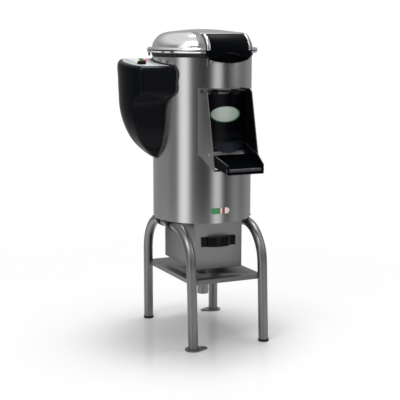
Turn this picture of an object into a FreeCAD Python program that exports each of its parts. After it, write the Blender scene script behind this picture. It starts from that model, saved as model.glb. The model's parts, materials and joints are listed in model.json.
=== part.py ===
import FreeCAD, Part
import math
import os

V = FreeCAD.Vector
X_AXIS = V(1, 0, 0)
Y_AXIS = V(0, 1, 0)
Z_AXIS = V(0, 0, 1)

# Free-standing electric potato peeler. All sizes in millimetres, front towards -Y, up along +Z.
# While it is being modelled, the vertical axis of the round body is at X = 0, Y = 0.

# General clearances
FIT = 0.3
RUN = 0.05
SHEET = 1.5
CUT = 5.0

# Stand: two bent tubes, each with a front leg and a rear leg
TUBE_R = 19.0
TUBE_WALL = 2.0
TUBE_X = 150.0
TUBE_TOP = 451.0
BEND_R = 148.0
FRONT_FOOT_Y = -262.0
FRONT_BEND_Y = -96.0
REAR_LEG_Y = 217.0
PLATE_T = 5.0
PLATE_R = 32.0
LOBE_R = 14.0
LOBE_REACH = 43.0
FLOOR_HOLE_R = 4.5
CAP_WALL = 2.0
CAP_FLOOR = 5.0
CAP_H = 9.0

# Shelf with drain
SHELF_FRONT = -245.0
SHELF_REAR = 221.0
SHELF_HALF = 150.0
SHELF_TOP = 258.5
SHELF_T = 2.0
SHELF_LIP = 17.0
SHELF_LIP_T = 4.0
SHELF_TILT = 1.6
SHELF_DISH = 26.0
SHELF_DISH_INSET = 34.0
DRAIN_X = 0.0
DRAIN_Y = -12.0
DRAIN_R = 23.0
DRAIN_WALL = 2.0
DRAIN_BOTTOM = 149.0
LEG_NOTCH = 0.5

# Round body
BODY_R = 195.0
BODY_BOTTOM = 470.0
BODY_TOP = 1102.0
BASE_T = 4.0
TOP_RING_T = 2.0
BOWL_WALL = 5.0
JACKET = 22.0
BOWL_R = BODY_R - JACKET - BOWL_WALL
BOWL_FLOOR_TOP = 734.0
BOWL_FLOOR_T = 6.0

# Discharge opening in the body
PORT_HALF = 62.0
PORT_BOTTOM = 745.0
PORT_TOP = 930.0

# Chute side plates
CHUTE_HALF = 93.0
CHUTE_T = 2.0
CHUTE_REAR_IN = 26.0
CHUTE_TOP = 988.0
CHUTE_TOP_OUT = 59.0
CHUTE_LOW_OUT = 130.0
CHUTE_TOP_FRONT_Y = -BODY_R - CHUTE_TOP_OUT
CHUTE_LOW_FRONT_Y = -BODY_R - CHUTE_LOW_OUT
CHUTE_LOW_Z = 690.0
CHUTE_REAR_LOW_Z = 742.0
CHUTE_CORNER = 9.0
RAIL_DEPTH = 12.0
LINER_T = 1.5
FLANGE_W = 14.0

# Discharge door
DOOR_OUT = 27.0
DOOR_R = BODY_R + DOOR_OUT
DOOR_T = 16.0
DOOR_HALF = 82.0
DOOR_TOP = 967.0
DOOR_BOTTOM = 752.0
DOOR_AXIS_OUT = 11.0
DOOR_AXIS_Y = -BODY_R - DOOR_AXIS_OUT
DOOR_AXIS_Z = 978.0
DOOR_ROD_R = 4.0
KNUCKLE_R = 7.5
KNUCKLE_W = 22.0
KNUCKLE_X = 41.0
DOOR_SHELL = 4.0
SEAL_W = 12.0
DOOR_GRIP_HALF = 61.0
DOOR_GRIP_TOP = 789.0
DOOR_GRIP_SIDE_Z = 768.0
DOOR_GRIP_LOW = 748.0
DOOR_GRIP_OUT = 21.0
DOOR_GRIP_R = DOOR_R + DOOR_GRIP_OUT
DOOR_GRIP_T = 4.0
DOOR_BADGE_Z = 891.5
DOOR_BADGE_HALF_W = 62.0
DOOR_BADGE_HALF_H = 30.0
DOOR_BADGE_T = 1.5

# Discharge tray
TRAY_REAR_OUT = 9.0
TRAY_DEPTH = 108.0
TRAY_NOSE = 85.0
TRAY_REAR_Y = -BODY_R - TRAY_REAR_OUT
TRAY_MOUTH_Y = TRAY_REAR_Y - TRAY_DEPTH
TRAY_FRONT_Y = TRAY_MOUTH_Y - TRAY_NOSE
TRAY_FRONT_HALF = 72.0
TRAY_WALL = 3.0
TRAY_TOP_REAR = 778.0
TRAY_TOP_MOUTH = 750.0
TRAY_TOP_FRONT = 719.0
TRAY_LOW_REAR = 734.0
TRAY_LOW_MOUTH = 707.0
TRAY_LOW_FRONT = 686.0
TRAY_BAR_R = 7.0
TRAY_BAR_IN = 11.5
TRAY_BAR_Y = TRAY_FRONT_Y + TRAY_BAR_IN
TRAY_BAR_Z = 698.0

# Lid
LID_RIM_OUT = 21.4
LID_RIM_R = BODY_R + LID_RIM_OUT
LID_RIM_LOW = 1117.0
LID_RIM_TOP = 1138.0
LID_ROUND = 7.0
LID_WALL = 2.5
LID_INNER_IN = 9.0
LID_INNER_R = BODY_R - LID_INNER_IN
DOME_SIDE = [(2.5, 1138.0), (-1.5, 1153.0), (-10.0, 1168.0), (-21.5, 1180.5), (-35.5, 1189.5),
        (-52.0, 1195.0)]
DOME_TOP = [(104.0, 1200.5), (64.0, 1204.8), (30.0, 1207.0), (0.0, 1207.5)]
DOME = [(BODY_R + out, z) for out, z in DOME_SIDE] + DOME_TOP
SEAL_OUT = 5.0
SEAL_IN = 11.0
SEAL_TOP_R = BODY_R + SEAL_OUT
SEAL_IN_R = BODY_R - SEAL_IN

# Forward extension of the lid and its black grip cover
WING_HALF = 93.0
COVER_T = 3.0
COVER_EDGE = [(-45.0, 1200.0), (-9.0, 1198.5), (11.0, 1195.5), (27.0, 1189.0), (43.0, 1180.0),
              (54.0, 1170.0), (62.5, 1158.0), (67.0, 1144.0), (69.0, 1128.0)]
COVER_PROFILE = [(BODY_R + out, z) for out, z in COVER_EDGE]
COVER_START_R = 219.0
COVER_SIDE_Z = 1115.0
COVER_CORNER_Z = 1097.0
COVER_CORNER_X = 78.0
COVER_LOW_Z = 1083.0
WING_LOW_Z = 1118.0
WING_FRONT_LOW_Z = 1126.0
GRIP_BLOCK_OUT = 45.0
GRIP_BLOCK_IN_R = BODY_R + GRIP_BLOCK_OUT
GRIP_TOP_Z = 1121.0
GRIP_SIDE_X = 75.0
GRIP_SIDE_Z = 1096.0
GRIP_LOW_Z = 1086.0
GRIP_DEPTH = 15.0

# Lid hinge at the rear
HINGE_OUT = 37.0
HINGE_Y = BODY_R + HINGE_OUT
HINGE_Z = 1112.0
HINGE_PIN_R = 4.0
HINGE_KNUCKLE_R = 8.0
HINGE_HALF = 40.0
HINGE_EAR_T = 4.0
HINGE_GAP = 0.5

# Control box: height, tilt, half width and outer distance of each section from top to bottom
BOX_SHAPE = [(1081.0, 6.5, 106.0, 133.0), (1077.0, 6.4, 113.5, 141.5), (1068.0, 6.0, 118.0, 146.0),
             (1030.0, 4.0, 118.4, 145.5), (988.0, 1.5, 118.0, 144.0), (966.0, 1.0, 110.0, 143.0),
             (945.0, 0.5, 88.0, 142.0), (922.0, 0.0, 75.0, 141.0), (888.0, 0.0, 70.0, 136.0),
             (850.0, 0.0, 67.0, 125.0), (815.0, 0.0, 61.0, 110.0), (779.0, 0.0, 51.0, 88.0),
             (748.0, 0.0, 37.0, 59.0), (728.0, 0.0, 20.0, 36.0), (717.0, 0.0, 9.0, 19.0)]
BOX_SECTIONS = [(z, tilt, half, BODY_R + out) for z, tilt, half, out in BOX_SHAPE]
BOX_ARC_R = 179.0
BOX_CORNER_R = 14.0
BOX_WALL = 3.5
BOX_BACK_IN = 45.0
BOX_BACK_X = BODY_R - BOX_BACK_IN
BOX_FLANGE = 6.0
BOX_FLANGE_T = 4.0
PANEL_OUT = 67.0
PANEL_X = -BODY_R - PANEL_OUT
PANEL_TILT = 6.5
PANEL_Z = 1081.0
LABEL_T = 1.2
LABEL_INSET = 7.0
BUTTON_R = 9.0
BUTTON_H = 4.5
BUTTON_STEM_R = 5.0
BUTTON_STEM = 14.0
BUTTON_TRAVEL = 3.0
BUTTON_GAP = 0.4
START_X = 22.0
START_Y = 44.0
STOP_X = 22.0
STOP_Y = 8.0
KNOB_X = -8.0
KNOB_Y = -44.0
KNOB_R = 17.0
KNOB_H = 7.0
KNOB_SHAFT_R = 3.0
UNIT_HALF = 40.0
UNIT_LOW = 880.0
UNIT_H = 140.0
UNIT_DEEP = 62.0

# Filter box under the body
DRAWER_HALF = 102.0
DRAWER_FRONT_Y = -155.0
DRAWER_REAR_Y = 144.0
DRAWER_BOTTOM = 283.0
DRAWER_GAP = 3.0
DRAWER_PANEL_T = 3.0
DRAWER_PANEL_LOW = 1.0
RUNNER_W = 12.0
RUNNER_Z = 440.0
HANDLE_HALF = 72.0
HANDLE_LOW = 374.0
HANDLE_TOP = 412.0
HANDLE_OUT = 26.0
HANDLE_T = 5.0
HANDLE_PAD = 20.0
BASKET_GAP = 7.0
BASKET_BOTTOM = 304.0
BASKET_TOP = 436.0
MESH_R = 4.0
MESH_STEP = 22.0
OUTLET_R = 22.0
OUTLET_LEN = 10.0

# Drive under the bowl
SPINDLE_R = 12.5
SPINDLE_LOW = 488.0
SPINDLE_TOP = 772.0
HOUSING_R = 35.0
HOUSING_LOW = 560.0
HOUSING_FLANGE_R = 66.0
HOUSING_FLANGE_T = 8.0
BEARING_R = 26.0
BEARING_W = 15.0
BEARING_LOW_Z = 568.0
BEARING_HIGH_Z = 688.0
SHAFT_SEAL_R = 23.5
SHAFT_SEAL_W = 8.0
DISC_GAP = 8.0
DISC_R = BOWL_R - DISC_GAP
DISC_LOW = 748.0
DISC_T = 12.0
DISC_HUMP = 13.0
DISC_HUMPS = 3
DISC_HUMP_R = 34.0
VANE_T = 8.0
VANE_GAP = 4.0
HUB_R = 28.0
CAP_NUT_R = 19.0
CAP_NUT_H = 15.0
PULLEY_R = 70.0
PULLEY_LOW = 498.0
PULLEY_W = 18.0
GROOVE_D = 7.0
GROOVE_W = 10.0
MOTOR_Y = 106.0
MOTOR_R = 60.0
MOTOR_LOW = 556.0
MOTOR_TOP = 700.0
MOTOR_FIN = 3.0
MOTOR_FIN_COUNT = 24
MOTOR_SHAFT_R = 9.5
MOTOR_SHAFT_LOW = 490.0
MOTOR_SHAFT_UP = 40.0
MOTOR_PULLEY_R = 24.0
MOUNT_T = 6.0
MOUNT_HALF = 58.0
POST_R = 7.0
BELT_GAP = 0.5
BELT_H = 7.0
BELT_T = 6.0

# Peel duct from the bowl into the filter box
DUCT_Y = -112.0
DUCT_R = 35.0
DUCT_WALL = 2.0
DUCT_LOW = 462.0

# Water supply at the rear
WATER_X = 66.0
WATER_Z = 1034.0
WATER_PIPE_R = 7.0
WATER_PIPE_WALL = 1.5
VALVE_HALF = 16.0
VALVE_OUT = 36.0
VALVE_COIL_R = 15.0
VALVE_COIL_H = 40.0
INLET_R = 13.2
INLET_LEN = 16.0
INLET_NUT_R = 18.0
INLET_NUT_H = 12.0
SPRAY_Z = 1078.0

# Cable gland on the rear side of the control box
GLAND_SIDE = 55.0
GLAND_X = -BODY_R - GLAND_SIDE
GLAND_Z = 1008.0
GLAND_R = 11.0
GLAND_BORE_R = 5.0
GLAND_OUT = 24.0
GLAND_IN = 8.0
GLAND_SEAT = 0.8

# Small pieces
SCREW_R = 5.0
SCREW_H = 3.0
STRAP_T = 3.0
STRAP_W = 28.0
STRAP_FRONT_Y = -52.0
STRAP_REAR_Y = 50.0
STRAP_FLANGE = 17.0
STRAP_BOLT_R = 4.0
CATCH_X = 50.0
CATCH_T = 3.0
CATCH_OUT = 21.0
CATCH_H = 33.0
BOX_TIP_OUT = 11.0
BOX_TIP_X = -BODY_R - BOX_TIP_OUT
CHUTE_SCREW_OUT = 82.0
CHUTE_SCREW_Y = -BODY_R - CHUTE_SCREW_OUT
CHUTE_SCREW_Z = 746.5
VENT_IN = 40.0
VENT_R = BODY_R - VENT_IN
VENT_COUNT = 7
VENT_START = 50.0
VENT_SPAN = 80.0
BADGE_AZ = -2.5
BADGE_Z = 518.5
BADGE_HALF_W = 38.5
BADGE_HALF_H = 11.5
BADGE_T = 1.5
TAB_AZ = -112.0
TAB_HALF = 6.0


def box(x0, x1, y0, y1, z0, z1):
    return Part.makeBox(x1 - x0, y1 - y0, z1 - z0, V(x0, y0, z0))


def cyl(r, z0, z1, x=0.0, y=0.0):
    return Part.makeCylinder(r, z1 - z0, V(x, y, z0), Z_AXIS)


def ring(r_out, r_in, z0, z1, x=0.0, y=0.0):
    return cyl(r_out, z0, z1, x, y).cut(cyl(r_in, z0 - CUT, z1 + CUT, x, y))


def rod_x(r, x0, x1, y, z):
    return Part.makeCylinder(r, x1 - x0, V(x0, y, z), X_AXIS)


def rod_y(r, y0, y1, x, z):
    return Part.makeCylinder(r, y1 - y0, V(x, y0, z), Y_AXIS)


def fuse(shapes):
    first = shapes[0]
    if len(shapes) == 1:
        return first
    return first.multiFuse(shapes[1:])


def cut(shape, tools):
    for tool in tools:
        shape = shape.cut(tool)
    return shape


def face(points):
    return Part.Face(Part.makePolygon(points + [points[0]]))


def prism_x(points, x0, x1):
    return face([V(x0, y, z) for y, z in points]).extrude(V(x1 - x0, 0, 0))


def prism_y(points, y0, y1):
    return face([V(x, y0, z) for x, z in points]).extrude(V(0, y1 - y0, 0))


def prism_z(points, z0, z1):
    return face([V(x, y, z0) for x, y in points]).extrude(V(0, 0, z1 - z0))


def turned(points):
    return face([V(r, 0, z) for r, z in points]).revolve(V(0, 0, 0), Z_AXIS, 360)


def mirror_x(shape):
    return shape.mirror(V(0, 0, 0), X_AXIS)


def both_sides(shape):
    return fuse([shape, mirror_x(shape)])


def one_solid(shape):
    # the largest solid, without the seams left by joining
    return max(shape.Solids, key=lambda s: s.Volume).removeSplitter()


def tidy(shape):
    return shape.removeSplitter()


def hexagon(r, z0, z1, x, y):
    points = []
    for i in range(6):
        a = math.radians(60 * i)
        points.append((x + r * math.cos(a), y + r * math.sin(a)))
    return prism_z(points, z0, z1)


def lens(half, z_side, z_high, z_low, y0, y1):
    # two arcs that meet in points at x = -half and x = half
    left = V(-half, y0, z_side)
    right = V(half, y0, z_side)
    high = Part.Arc(left, V(0, y0, z_high), right).toShape()
    low = Part.Arc(right, V(0, y0, z_low), left).toShape()
    return Part.Face(Part.Wire([high, low])).extrude(V(0, y1 - y0, 0))


# Stand

def tube_path(x, z_front, z_rear):
    zc = TUBE_TOP - BEND_R
    rear_c = REAR_LEG_Y - BEND_R
    run = FRONT_BEND_Y - FRONT_FOOT_Y
    lean = math.acos(BEND_R / math.hypot(run, zc)) - math.atan2(zc, run)
    touch_y = FRONT_BEND_Y - BEND_R * math.cos(lean)
    touch_z = zc + BEND_R * math.sin(lean)
    mid = math.radians(90) / 2 + lean / 2
    front_mid = V(x, FRONT_BEND_Y - BEND_R * math.cos(mid), zc + BEND_R * math.sin(mid))
    half = math.sqrt(0.5)
    rear_mid = V(x, rear_c + BEND_R * half, zc + BEND_R * half)
    foot_y = FRONT_FOOT_Y + z_front * math.tan(lean)
    p0 = V(x, foot_y, z_front)
    p1 = V(x, touch_y, touch_z)
    p2 = V(x, FRONT_BEND_Y, TUBE_TOP)
    p3 = V(x, rear_c, TUBE_TOP)
    p4 = V(x, REAR_LEG_Y, zc)
    p5 = V(x, REAR_LEG_Y, z_rear)
    edges = [Part.LineSegment(p0, p1).toShape(), Part.Arc(p1, front_mid, p2).toShape(),
             Part.LineSegment(p2, p3).toShape(), Part.Arc(p3, rear_mid, p4).toShape(),
             Part.LineSegment(p4, p5).toShape()]
    return Part.Wire(edges), p0, p1 - p0, lean


def tube_skin(x, r):
    path, start, direction, lean = tube_path(x, -BEND_R / 4, -BEND_R / 4)
    profile = Part.Wire(Part.makeCircle(r, start, direction))
    return path.makePipeShell([profile], True, False)


def stand_tube(x, z_front, z_rear):
    tube = tube_skin(x, TUBE_R).cut(tube_skin(x, TUBE_R - TUBE_WALL))
    reach = TUBE_R * 2
    below_front = box(x - reach, x + reach, FRONT_FOOT_Y - reach * 2, DRAIN_Y, -BEND_R, z_front)
    below_rear = box(x - reach, x + reach, DRAIN_Y, REAR_LEG_Y + reach, -BEND_R, z_rear)
    return one_solid(cut(tube, [below_front, below_rear]))


def floor_plate(x, y, side):
    lobe_x = x + side * LOBE_REACH
    disc = cyl(PLATE_R, 0, PLATE_T, x, y)
    lobe = cyl(LOBE_R, 0, PLATE_T, lobe_x, y)
    slope = math.acos((PLATE_R - LOBE_R) / LOBE_REACH)
    points = []
    for cx, r, sign in ((x, PLATE_R, 1), (lobe_x, LOBE_R, 1), (lobe_x, LOBE_R, -1), (x, PLATE_R, -1)):
        points.append((cx + side * r * math.cos(slope), y + sign * r * math.sin(slope)))
    web = prism_z(points, 0, PLATE_T)
    hole = cyl(FLOOR_HOLE_R, -CUT, PLATE_T + CUT, lobe_x, y)
    return tidy(fuse([disc, lobe, web])).cut(hole)


def rubber_cap(x, y):
    outer = cyl(TUBE_R + CAP_WALL, 0, CAP_H, x, y)
    outer = outer.makeChamfer(CAP_WALL / 2, [e for e in outer.Edges if e.BoundBox.ZMax < 1.0])
    inside = tube_skin(x, TUBE_R).common(box(x - PLATE_R, x + PLATE_R, y - PLATE_R, y + PLATE_R,
            CAP_FLOOR, CAP_H + CUT))
    return outer.cut(inside)


def leg_axis_y(z):
    path, start, direction, lean = tube_path(0, 0, 0)
    return FRONT_FOOT_Y + z * math.tan(lean)


def shelf():
    x = SHELF_HALF
    y0 = SHELF_FRONT
    y1 = SHELF_REAR
    z = SHELF_TOP
    inner = SHELF_DISH_INSET
    flat = box(-x, x, y0, y1, z - SHELF_T, z)
    skirt = box(-x, x, y0, y1, z - SHELF_LIP, z).cut(
        box(-x + SHELF_LIP_T, x - SHELF_LIP_T, y0 + SHELF_LIP_T, y1 - SHELF_LIP_T,
        z - SHELF_LIP - CUT, z + CUT))
    rim = [V(-x + inner, y0 + inner, z), V(x - inner, y0 + inner, z),
           V(x - inner, y1 - inner, z), V(-x + inner, y1 - inner, z)]
    d = DRAIN_R - DRAIN_WALL
    low = [V(DRAIN_X - d, DRAIN_Y - d, z - SHELF_DISH), V(DRAIN_X + d, DRAIN_Y - d, z - SHELF_DISH),
           V(DRAIN_X + d, DRAIN_Y + d, z - SHELF_DISH), V(DRAIN_X - d, DRAIN_Y + d, z - SHELF_DISH)]
    dish = Part.makeLoft([Part.makePolygon(rim + rim[:1]), Part.makePolygon(low + low[:1])], True, True)
    under = dish.copy()
    under.translate(V(0, 0, -SHELF_T))
    pan = tidy(fuse([flat, skirt, under]))
    pan = pan.cut(dish)
    pan = pan.cut(cyl(d, z - SHELF_DISH - SHELF_LIP, z + CUT, DRAIN_X, DRAIN_Y))
    pan.rotate(V(0, DRAIN_Y, z), X_AXIS, -SHELF_TILT)
    notches = []
    for sx in (-TUBE_X, TUBE_X):
        notches.append(cyl(TUBE_R + LEG_NOTCH, 0, TUBE_TOP, sx, leg_axis_y(z)))
        notches.append(cyl(TUBE_R + LEG_NOTCH, 0, TUBE_TOP, sx, REAR_LEG_Y))
    return one_solid(cut(pan, notches))


def drain_pipe():
    top = SHELF_TOP - SHELF_DISH - SHELF_T - FIT * 4
    collar = ring(DRAIN_R + DRAIN_WALL, DRAIN_R - DRAIN_WALL, top - DRAIN_WALL * 4,
            top - DRAIN_WALL, DRAIN_X, DRAIN_Y)
    pipe = ring(DRAIN_R, DRAIN_R - DRAIN_WALL, DRAIN_BOTTOM, top, DRAIN_X, DRAIN_Y)
    return tidy(fuse([pipe, collar]))


def saddle_strap(x, y):
    outer = Part.makeCylinder(TUBE_R + STRAP_T, STRAP_W, V(x, y - STRAP_W / 2, TUBE_TOP), Y_AXIS)
    flange_x = TUBE_R + STRAP_T + STRAP_FLANGE
    top = BODY_BOTTOM
    wings = box(x - flange_x, x + flange_x, y - STRAP_W / 2, y + STRAP_W / 2, top - STRAP_T, top)
    walls = box(x - TUBE_R - STRAP_T, x + TUBE_R + STRAP_T, y - STRAP_W / 2, y + STRAP_W / 2, TUBE_TOP, top)
    hole = Part.makeCylinder(TUBE_R, STRAP_W + CUT * 2, V(x, y - STRAP_W / 2 - CUT, TUBE_TOP), Y_AXIS)
    slot = box(x - TUBE_R, x + TUBE_R, y - STRAP_W, y + STRAP_W, TUBE_TOP, top + CUT)
    return tidy(fuse([outer, walls, wings])).cut(hole).cut(slot)


def strap_bolts(x, y):
    reach = TUBE_R + STRAP_T + STRAP_FLANGE / 2
    low = BODY_BOTTOM - STRAP_T
    bolts = []
    for bx in (x - reach, x + reach):
        bolts.append(hexagon(STRAP_BOLT_R + SCREW_H, low - SCREW_H, low, bx, y))
    return bolts


# Filter box

def filter_housing():
    h = DRAWER_HALF
    y0 = DRAWER_FRONT_Y
    y1 = DRAWER_REAR_Y
    z0 = DRAWER_BOTTOM
    z1 = BODY_BOTTOM
    shell = box(-h, h, y0, y1, z0, z1)
    shell = shell.cut(box(-h + SHEET, h - SHEET, y0 - CUT, y1 - SHEET, z0 + SHEET, z1 - SHEET))
    runner = box(h - SHEET - RUNNER_W, h - SHEET, y0 + RUNNER_W, y1 - SHEET, RUNNER_Z, RUNNER_Z + SHEET)
    skid = box(h - SHEET - RUNNER_W, h - SHEET, y0 + RUNNER_W, y1 - SHEET, z0 + SHEET,
            z0 + SHEET + DRAWER_GAP - FIT)
    runner = fuse([runner, skid])
    stop = box(h - SHEET - RUNNER_W, h - SHEET, y1 - SHEET * 3, y1 - SHEET, z0 + SHEET, RUNNER_Z)
    outlet = ring(OUTLET_R, OUTLET_R - SHEET, z0 - OUTLET_LEN, z0 + SHEET, DRAIN_X, DRAIN_Y)
    shell = tidy(fuse([shell, both_sides(runner), both_sides(stop), outlet]))
    shell = shell.cut(cyl(OUTLET_R - SHEET, z0 - OUTLET_LEN - CUT, z0 + SHEET * 2, DRAIN_X, DRAIN_Y))
    return shell.cut(cyl(DUCT_R + FIT, z1 - SHEET - CUT, z1 + CUT, 0, DUCT_Y))


def drawer_limits():
    inset = SHEET + DRAWER_GAP
    return DRAWER_HALF - inset, DRAWER_FRONT_Y, DRAWER_REAR_Y - inset * 2, DRAWER_BOTTOM + inset


def drawer_box():
    h, y0, y1, z0 = drawer_limits()
    body = box(-h, h, y0, y1, z0, RUNNER_Z - DRAWER_GAP)
    body = body.cut(box(-h + SHEET, h - SHEET, y0 + SHEET, y1 - SHEET, z0 + SHEET, BODY_TOP))
    drain = box(-OUTLET_R, OUTLET_R, DRAIN_Y - OUTLET_R, DRAIN_Y + OUTLET_R, z0 - CUT, z0 + CUT)
    return body.cut(drain)


def drawer_front():
    h = DRAWER_HALF
    y1 = DRAWER_FRONT_Y - FIT
    panel = box(-h, h, y1 - DRAWER_PANEL_T, y1, DRAWER_BOTTOM, BODY_BOTTOM - DRAWER_PANEL_LOW)
    edges = [e for e in panel.Edges if e.BoundBox.YLength < FIT and e.BoundBox.YMax < y1 - FIT]
    panel = panel.makeChamfer(1.0, edges)
    half, y0, rear, z0 = drawer_limits()
    tongue = box(-half + SHEET * 2, half - SHEET * 2, y1 - CUT / 10, y0, z0 + RUNNER_W, RUNNER_Z - RUNNER_W)
    return tidy(fuse([panel, tongue]))


def drawer_handle():
    y = DRAWER_FRONT_Y - FIT - DRAWER_PANEL_T
    h = HANDLE_HALF
    left = V(-h + HANDLE_PAD, y, 0)
    right = V(h - HANDLE_PAD, y, 0)
    outer = Part.Arc(left + V(-HANDLE_T, 0, 0), V(0, y - HANDLE_OUT, 0), right + V(HANDLE_T, 0, 0)).toShape()
    inner = Part.Arc(right, V(0, y - HANDLE_OUT + HANDLE_T, 0), left).toShape()
    side_r = Part.LineSegment(right + V(HANDLE_T, 0, 0), right).toShape()
    side_l = Part.LineSegment(left, left + V(-HANDLE_T, 0, 0)).toShape()
    bow = Part.Face(Part.Wire([outer, side_r, inner, side_l])).extrude(V(0, 0, HANDLE_TOP - HANDLE_LOW))
    bow.translate(V(0, 0, HANDLE_LOW))
    pad = box(h - HANDLE_PAD, h, y - HANDLE_T, y, HANDLE_LOW, HANDLE_TOP)
    pad = pad.makeFillet(3.0, [e for e in pad.Edges if e.BoundBox.YLength > 1.0
            and e.BoundBox.XMin > h - 1.0])
    screw = rod_y(SCREW_R, y - HANDLE_T - SCREW_H / 2, y - HANDLE_T, h - HANDLE_PAD / 2,
            (HANDLE_LOW + HANDLE_TOP) / 2)
    return tidy(fuse([bow, both_sides(fuse([pad, screw]))]))


def filter_basket():
    h, y0, y1, z0 = drawer_limits()
    g = BASKET_GAP
    x = h - SHEET - g
    ya = y0 + SHEET + g
    yb = y1 - SHEET - g
    shell = box(-x, x, ya, yb, BASKET_BOTTOM, BASKET_TOP)
    shell = shell.cut(box(-x + SHEET, x - SHEET, ya + SHEET, yb - SHEET, BASKET_BOTTOM + SHEET,
            BASKET_TOP + CUT))
    rim = box(-x - g / 2, x + g / 2, ya - g / 2, yb + g / 2, BASKET_TOP - SHEET * 2, BASKET_TOP)
    rim = rim.cut(box(-x, x, ya, yb, BASKET_BOTTOM, BODY_TOP))
    feet = []
    for fx in (-x + g, x - g):
        for fy in (ya + g, yb - g):
            feet.append(cyl(g / 2, z0 + SHEET, BASKET_BOTTOM, fx, fy))
    shell = fuse([shell, rim] + feet)
    holes = []
    nx = int((2 * x - MESH_STEP) / MESH_STEP)
    ny = int((yb - ya - MESH_STEP) / MESH_STEP)
    nz = int((BASKET_TOP - BASKET_BOTTOM - MESH_STEP) / MESH_STEP)
    for i in range(nx):
        px = (i - (nx - 1) / 2) * MESH_STEP
        for j in range(ny):
            py = (ya + yb) / 2 + (j - (ny - 1) / 2) * MESH_STEP
            holes.append(cyl(MESH_R, BASKET_BOTTOM - CUT, BASKET_BOTTOM + CUT, px, py))
    for j in range(ny):
        py = (ya + yb) / 2 + (j - (ny - 1) / 2) * MESH_STEP
        for k in range(nz):
            pz = BASKET_BOTTOM + MESH_STEP * (k + 1)
            holes.append(rod_x(MESH_R, -x - CUT, x + CUT, py, pz))
    return tidy(shell).cut(Part.makeCompound(holes))


# Body

def port_cutter(inside, outside):
    return box(-PORT_HALF, PORT_HALF, -outside, -inside, PORT_BOTTOM, PORT_TOP)


def outer_casing():
    low = BODY_BOTTOM + BASE_T
    shell = ring(BODY_R, BODY_R - SHEET, low, BODY_TOP - TOP_RING_T)
    cable = Part.makeCylinder(GLAND_R, CUT * 4, V(-BODY_R - CUT, 0, DOOR_BADGE_Z), X_AXIS)
    water = rod_y(WATER_PIPE_R + FIT, 0, BODY_R + CUT, WATER_X, WATER_Z)
    return cut(shell, [port_cutter(BODY_R / 2, BODY_R * 2), cable, water])


def base_plate():
    plate = cyl(BODY_R, BODY_BOTTOM, BODY_BOTTOM + BASE_T)
    plate = plate.cut(cyl(DUCT_R + FIT, BODY_BOTTOM - CUT, BODY_BOTTOM + BASE_T + CUT, 0, DUCT_Y))
    vents = []
    for i in range(VENT_COUNT):
        a = math.radians(VENT_START + i * VENT_SPAN / (VENT_COUNT - 1))
        vx = VENT_R * math.cos(a)
        vy = VENT_R * math.sin(a)
        vents.append(cyl(CUT, BODY_BOTTOM - CUT, BODY_BOTTOM + BASE_T + CUT, vx, vy))
    return cut(plate, vents)


def top_ring():
    r0 = BOWL_R
    plate = ring(BODY_R, r0, BODY_TOP - TOP_RING_T, BODY_TOP)
    lip = ring(r0 + SHEET, r0, BODY_TOP - TOP_RING_T * 6, BODY_TOP)
    return tidy(fuse([plate, lip]))


def bowl_liner():
    low = BOWL_FLOOR_TOP
    top = BODY_TOP - TOP_RING_T * 6
    wall = ring(BOWL_R + BOWL_WALL, BOWL_R, low, top)
    spray = rod_y(WATER_PIPE_R + FIT, 0, BODY_R, WATER_X, SPRAY_Z)
    return cut(wall, [port_cutter(BOWL_R / 2, BODY_R), spray])


def port_frame():
    # lining of the passage from the bowl wall to the casing
    t = SHEET
    outer = box(-PORT_HALF, PORT_HALF, -BODY_R - CUT, 0, PORT_BOTTOM, PORT_TOP)
    inner = box(-PORT_HALF + t, PORT_HALF - t, -BODY_R * 2, CUT, PORT_BOTTOM + t, PORT_TOP - t)
    frame = outer.cut(inner)
    frame = frame.common(cyl(BODY_R - SHEET, PORT_BOTTOM - CUT, PORT_TOP + CUT))
    return frame.cut(cyl(BOWL_R + BOWL_WALL, PORT_BOTTOM - CUT, PORT_TOP + CUT))


def bowl_floor():
    z1 = BOWL_FLOOR_TOP
    z0 = z1 - BOWL_FLOOR_T
    plate = cyl(BOWL_R + BOWL_WALL, z0, z1)
    flange = ring(BODY_R - SHEET, BOWL_R + BOWL_WALL, z0, z0 + SHEET * 2)
    plate = tidy(fuse([plate, flange]))
    plate = plate.cut(cyl(SPINDLE_R + SHEET, z0 - CUT, z1 + CUT))
    return plate.cut(cyl(DUCT_R - DUCT_WALL, z0 - CUT, z1 + CUT, 0, DUCT_Y))


def waste_duct():
    top = BOWL_FLOOR_TOP - BOWL_FLOOR_T
    pipe = ring(DUCT_R, DUCT_R - DUCT_WALL, DUCT_LOW, top, 0, DUCT_Y)
    flange = ring(DUCT_R + CUT, DUCT_R, top - DUCT_WALL, top, 0, DUCT_Y)
    return tidy(fuse([pipe, flange]))


def bearing_housing():
    top = BOWL_FLOOR_TOP - BOWL_FLOOR_T
    tube = cyl(HOUSING_R, HOUSING_LOW, top)
    flange = cyl(HOUSING_FLANGE_R, top - HOUSING_FLANGE_T, top)
    flange = flange.cut(cyl(DUCT_R + CUT + FIT, top - HOUSING_FLANGE_T - CUT, top + CUT, 0, DUCT_Y))
    ribs = []
    for a in (30, 150, 210, 330):
        rib = prism_y([(HOUSING_R - CUT, top), (HOUSING_FLANGE_R - CUT, top),
                (HOUSING_R - CUT, top - HOUSING_R)],
                      -SHEET * 2, SHEET * 2)
        rib.rotate(V(0, 0, 0), Z_AXIS, a)
        ribs.append(rib)
    body = tidy(fuse([tube, flange] + ribs))
    bores = [cyl(SPINDLE_R + SHEET * 2, HOUSING_LOW - CUT, top + CUT)]
    bores.append(cyl(BEARING_R, BEARING_LOW_Z, BEARING_LOW_Z + BEARING_W))
    bores.append(cyl(BEARING_R, BEARING_HIGH_Z, BEARING_HIGH_Z + BEARING_W))
    bores.append(cyl(SHAFT_SEAL_R, top - SHAFT_SEAL_W, top + CUT))
    return cut(body, bores)


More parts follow.
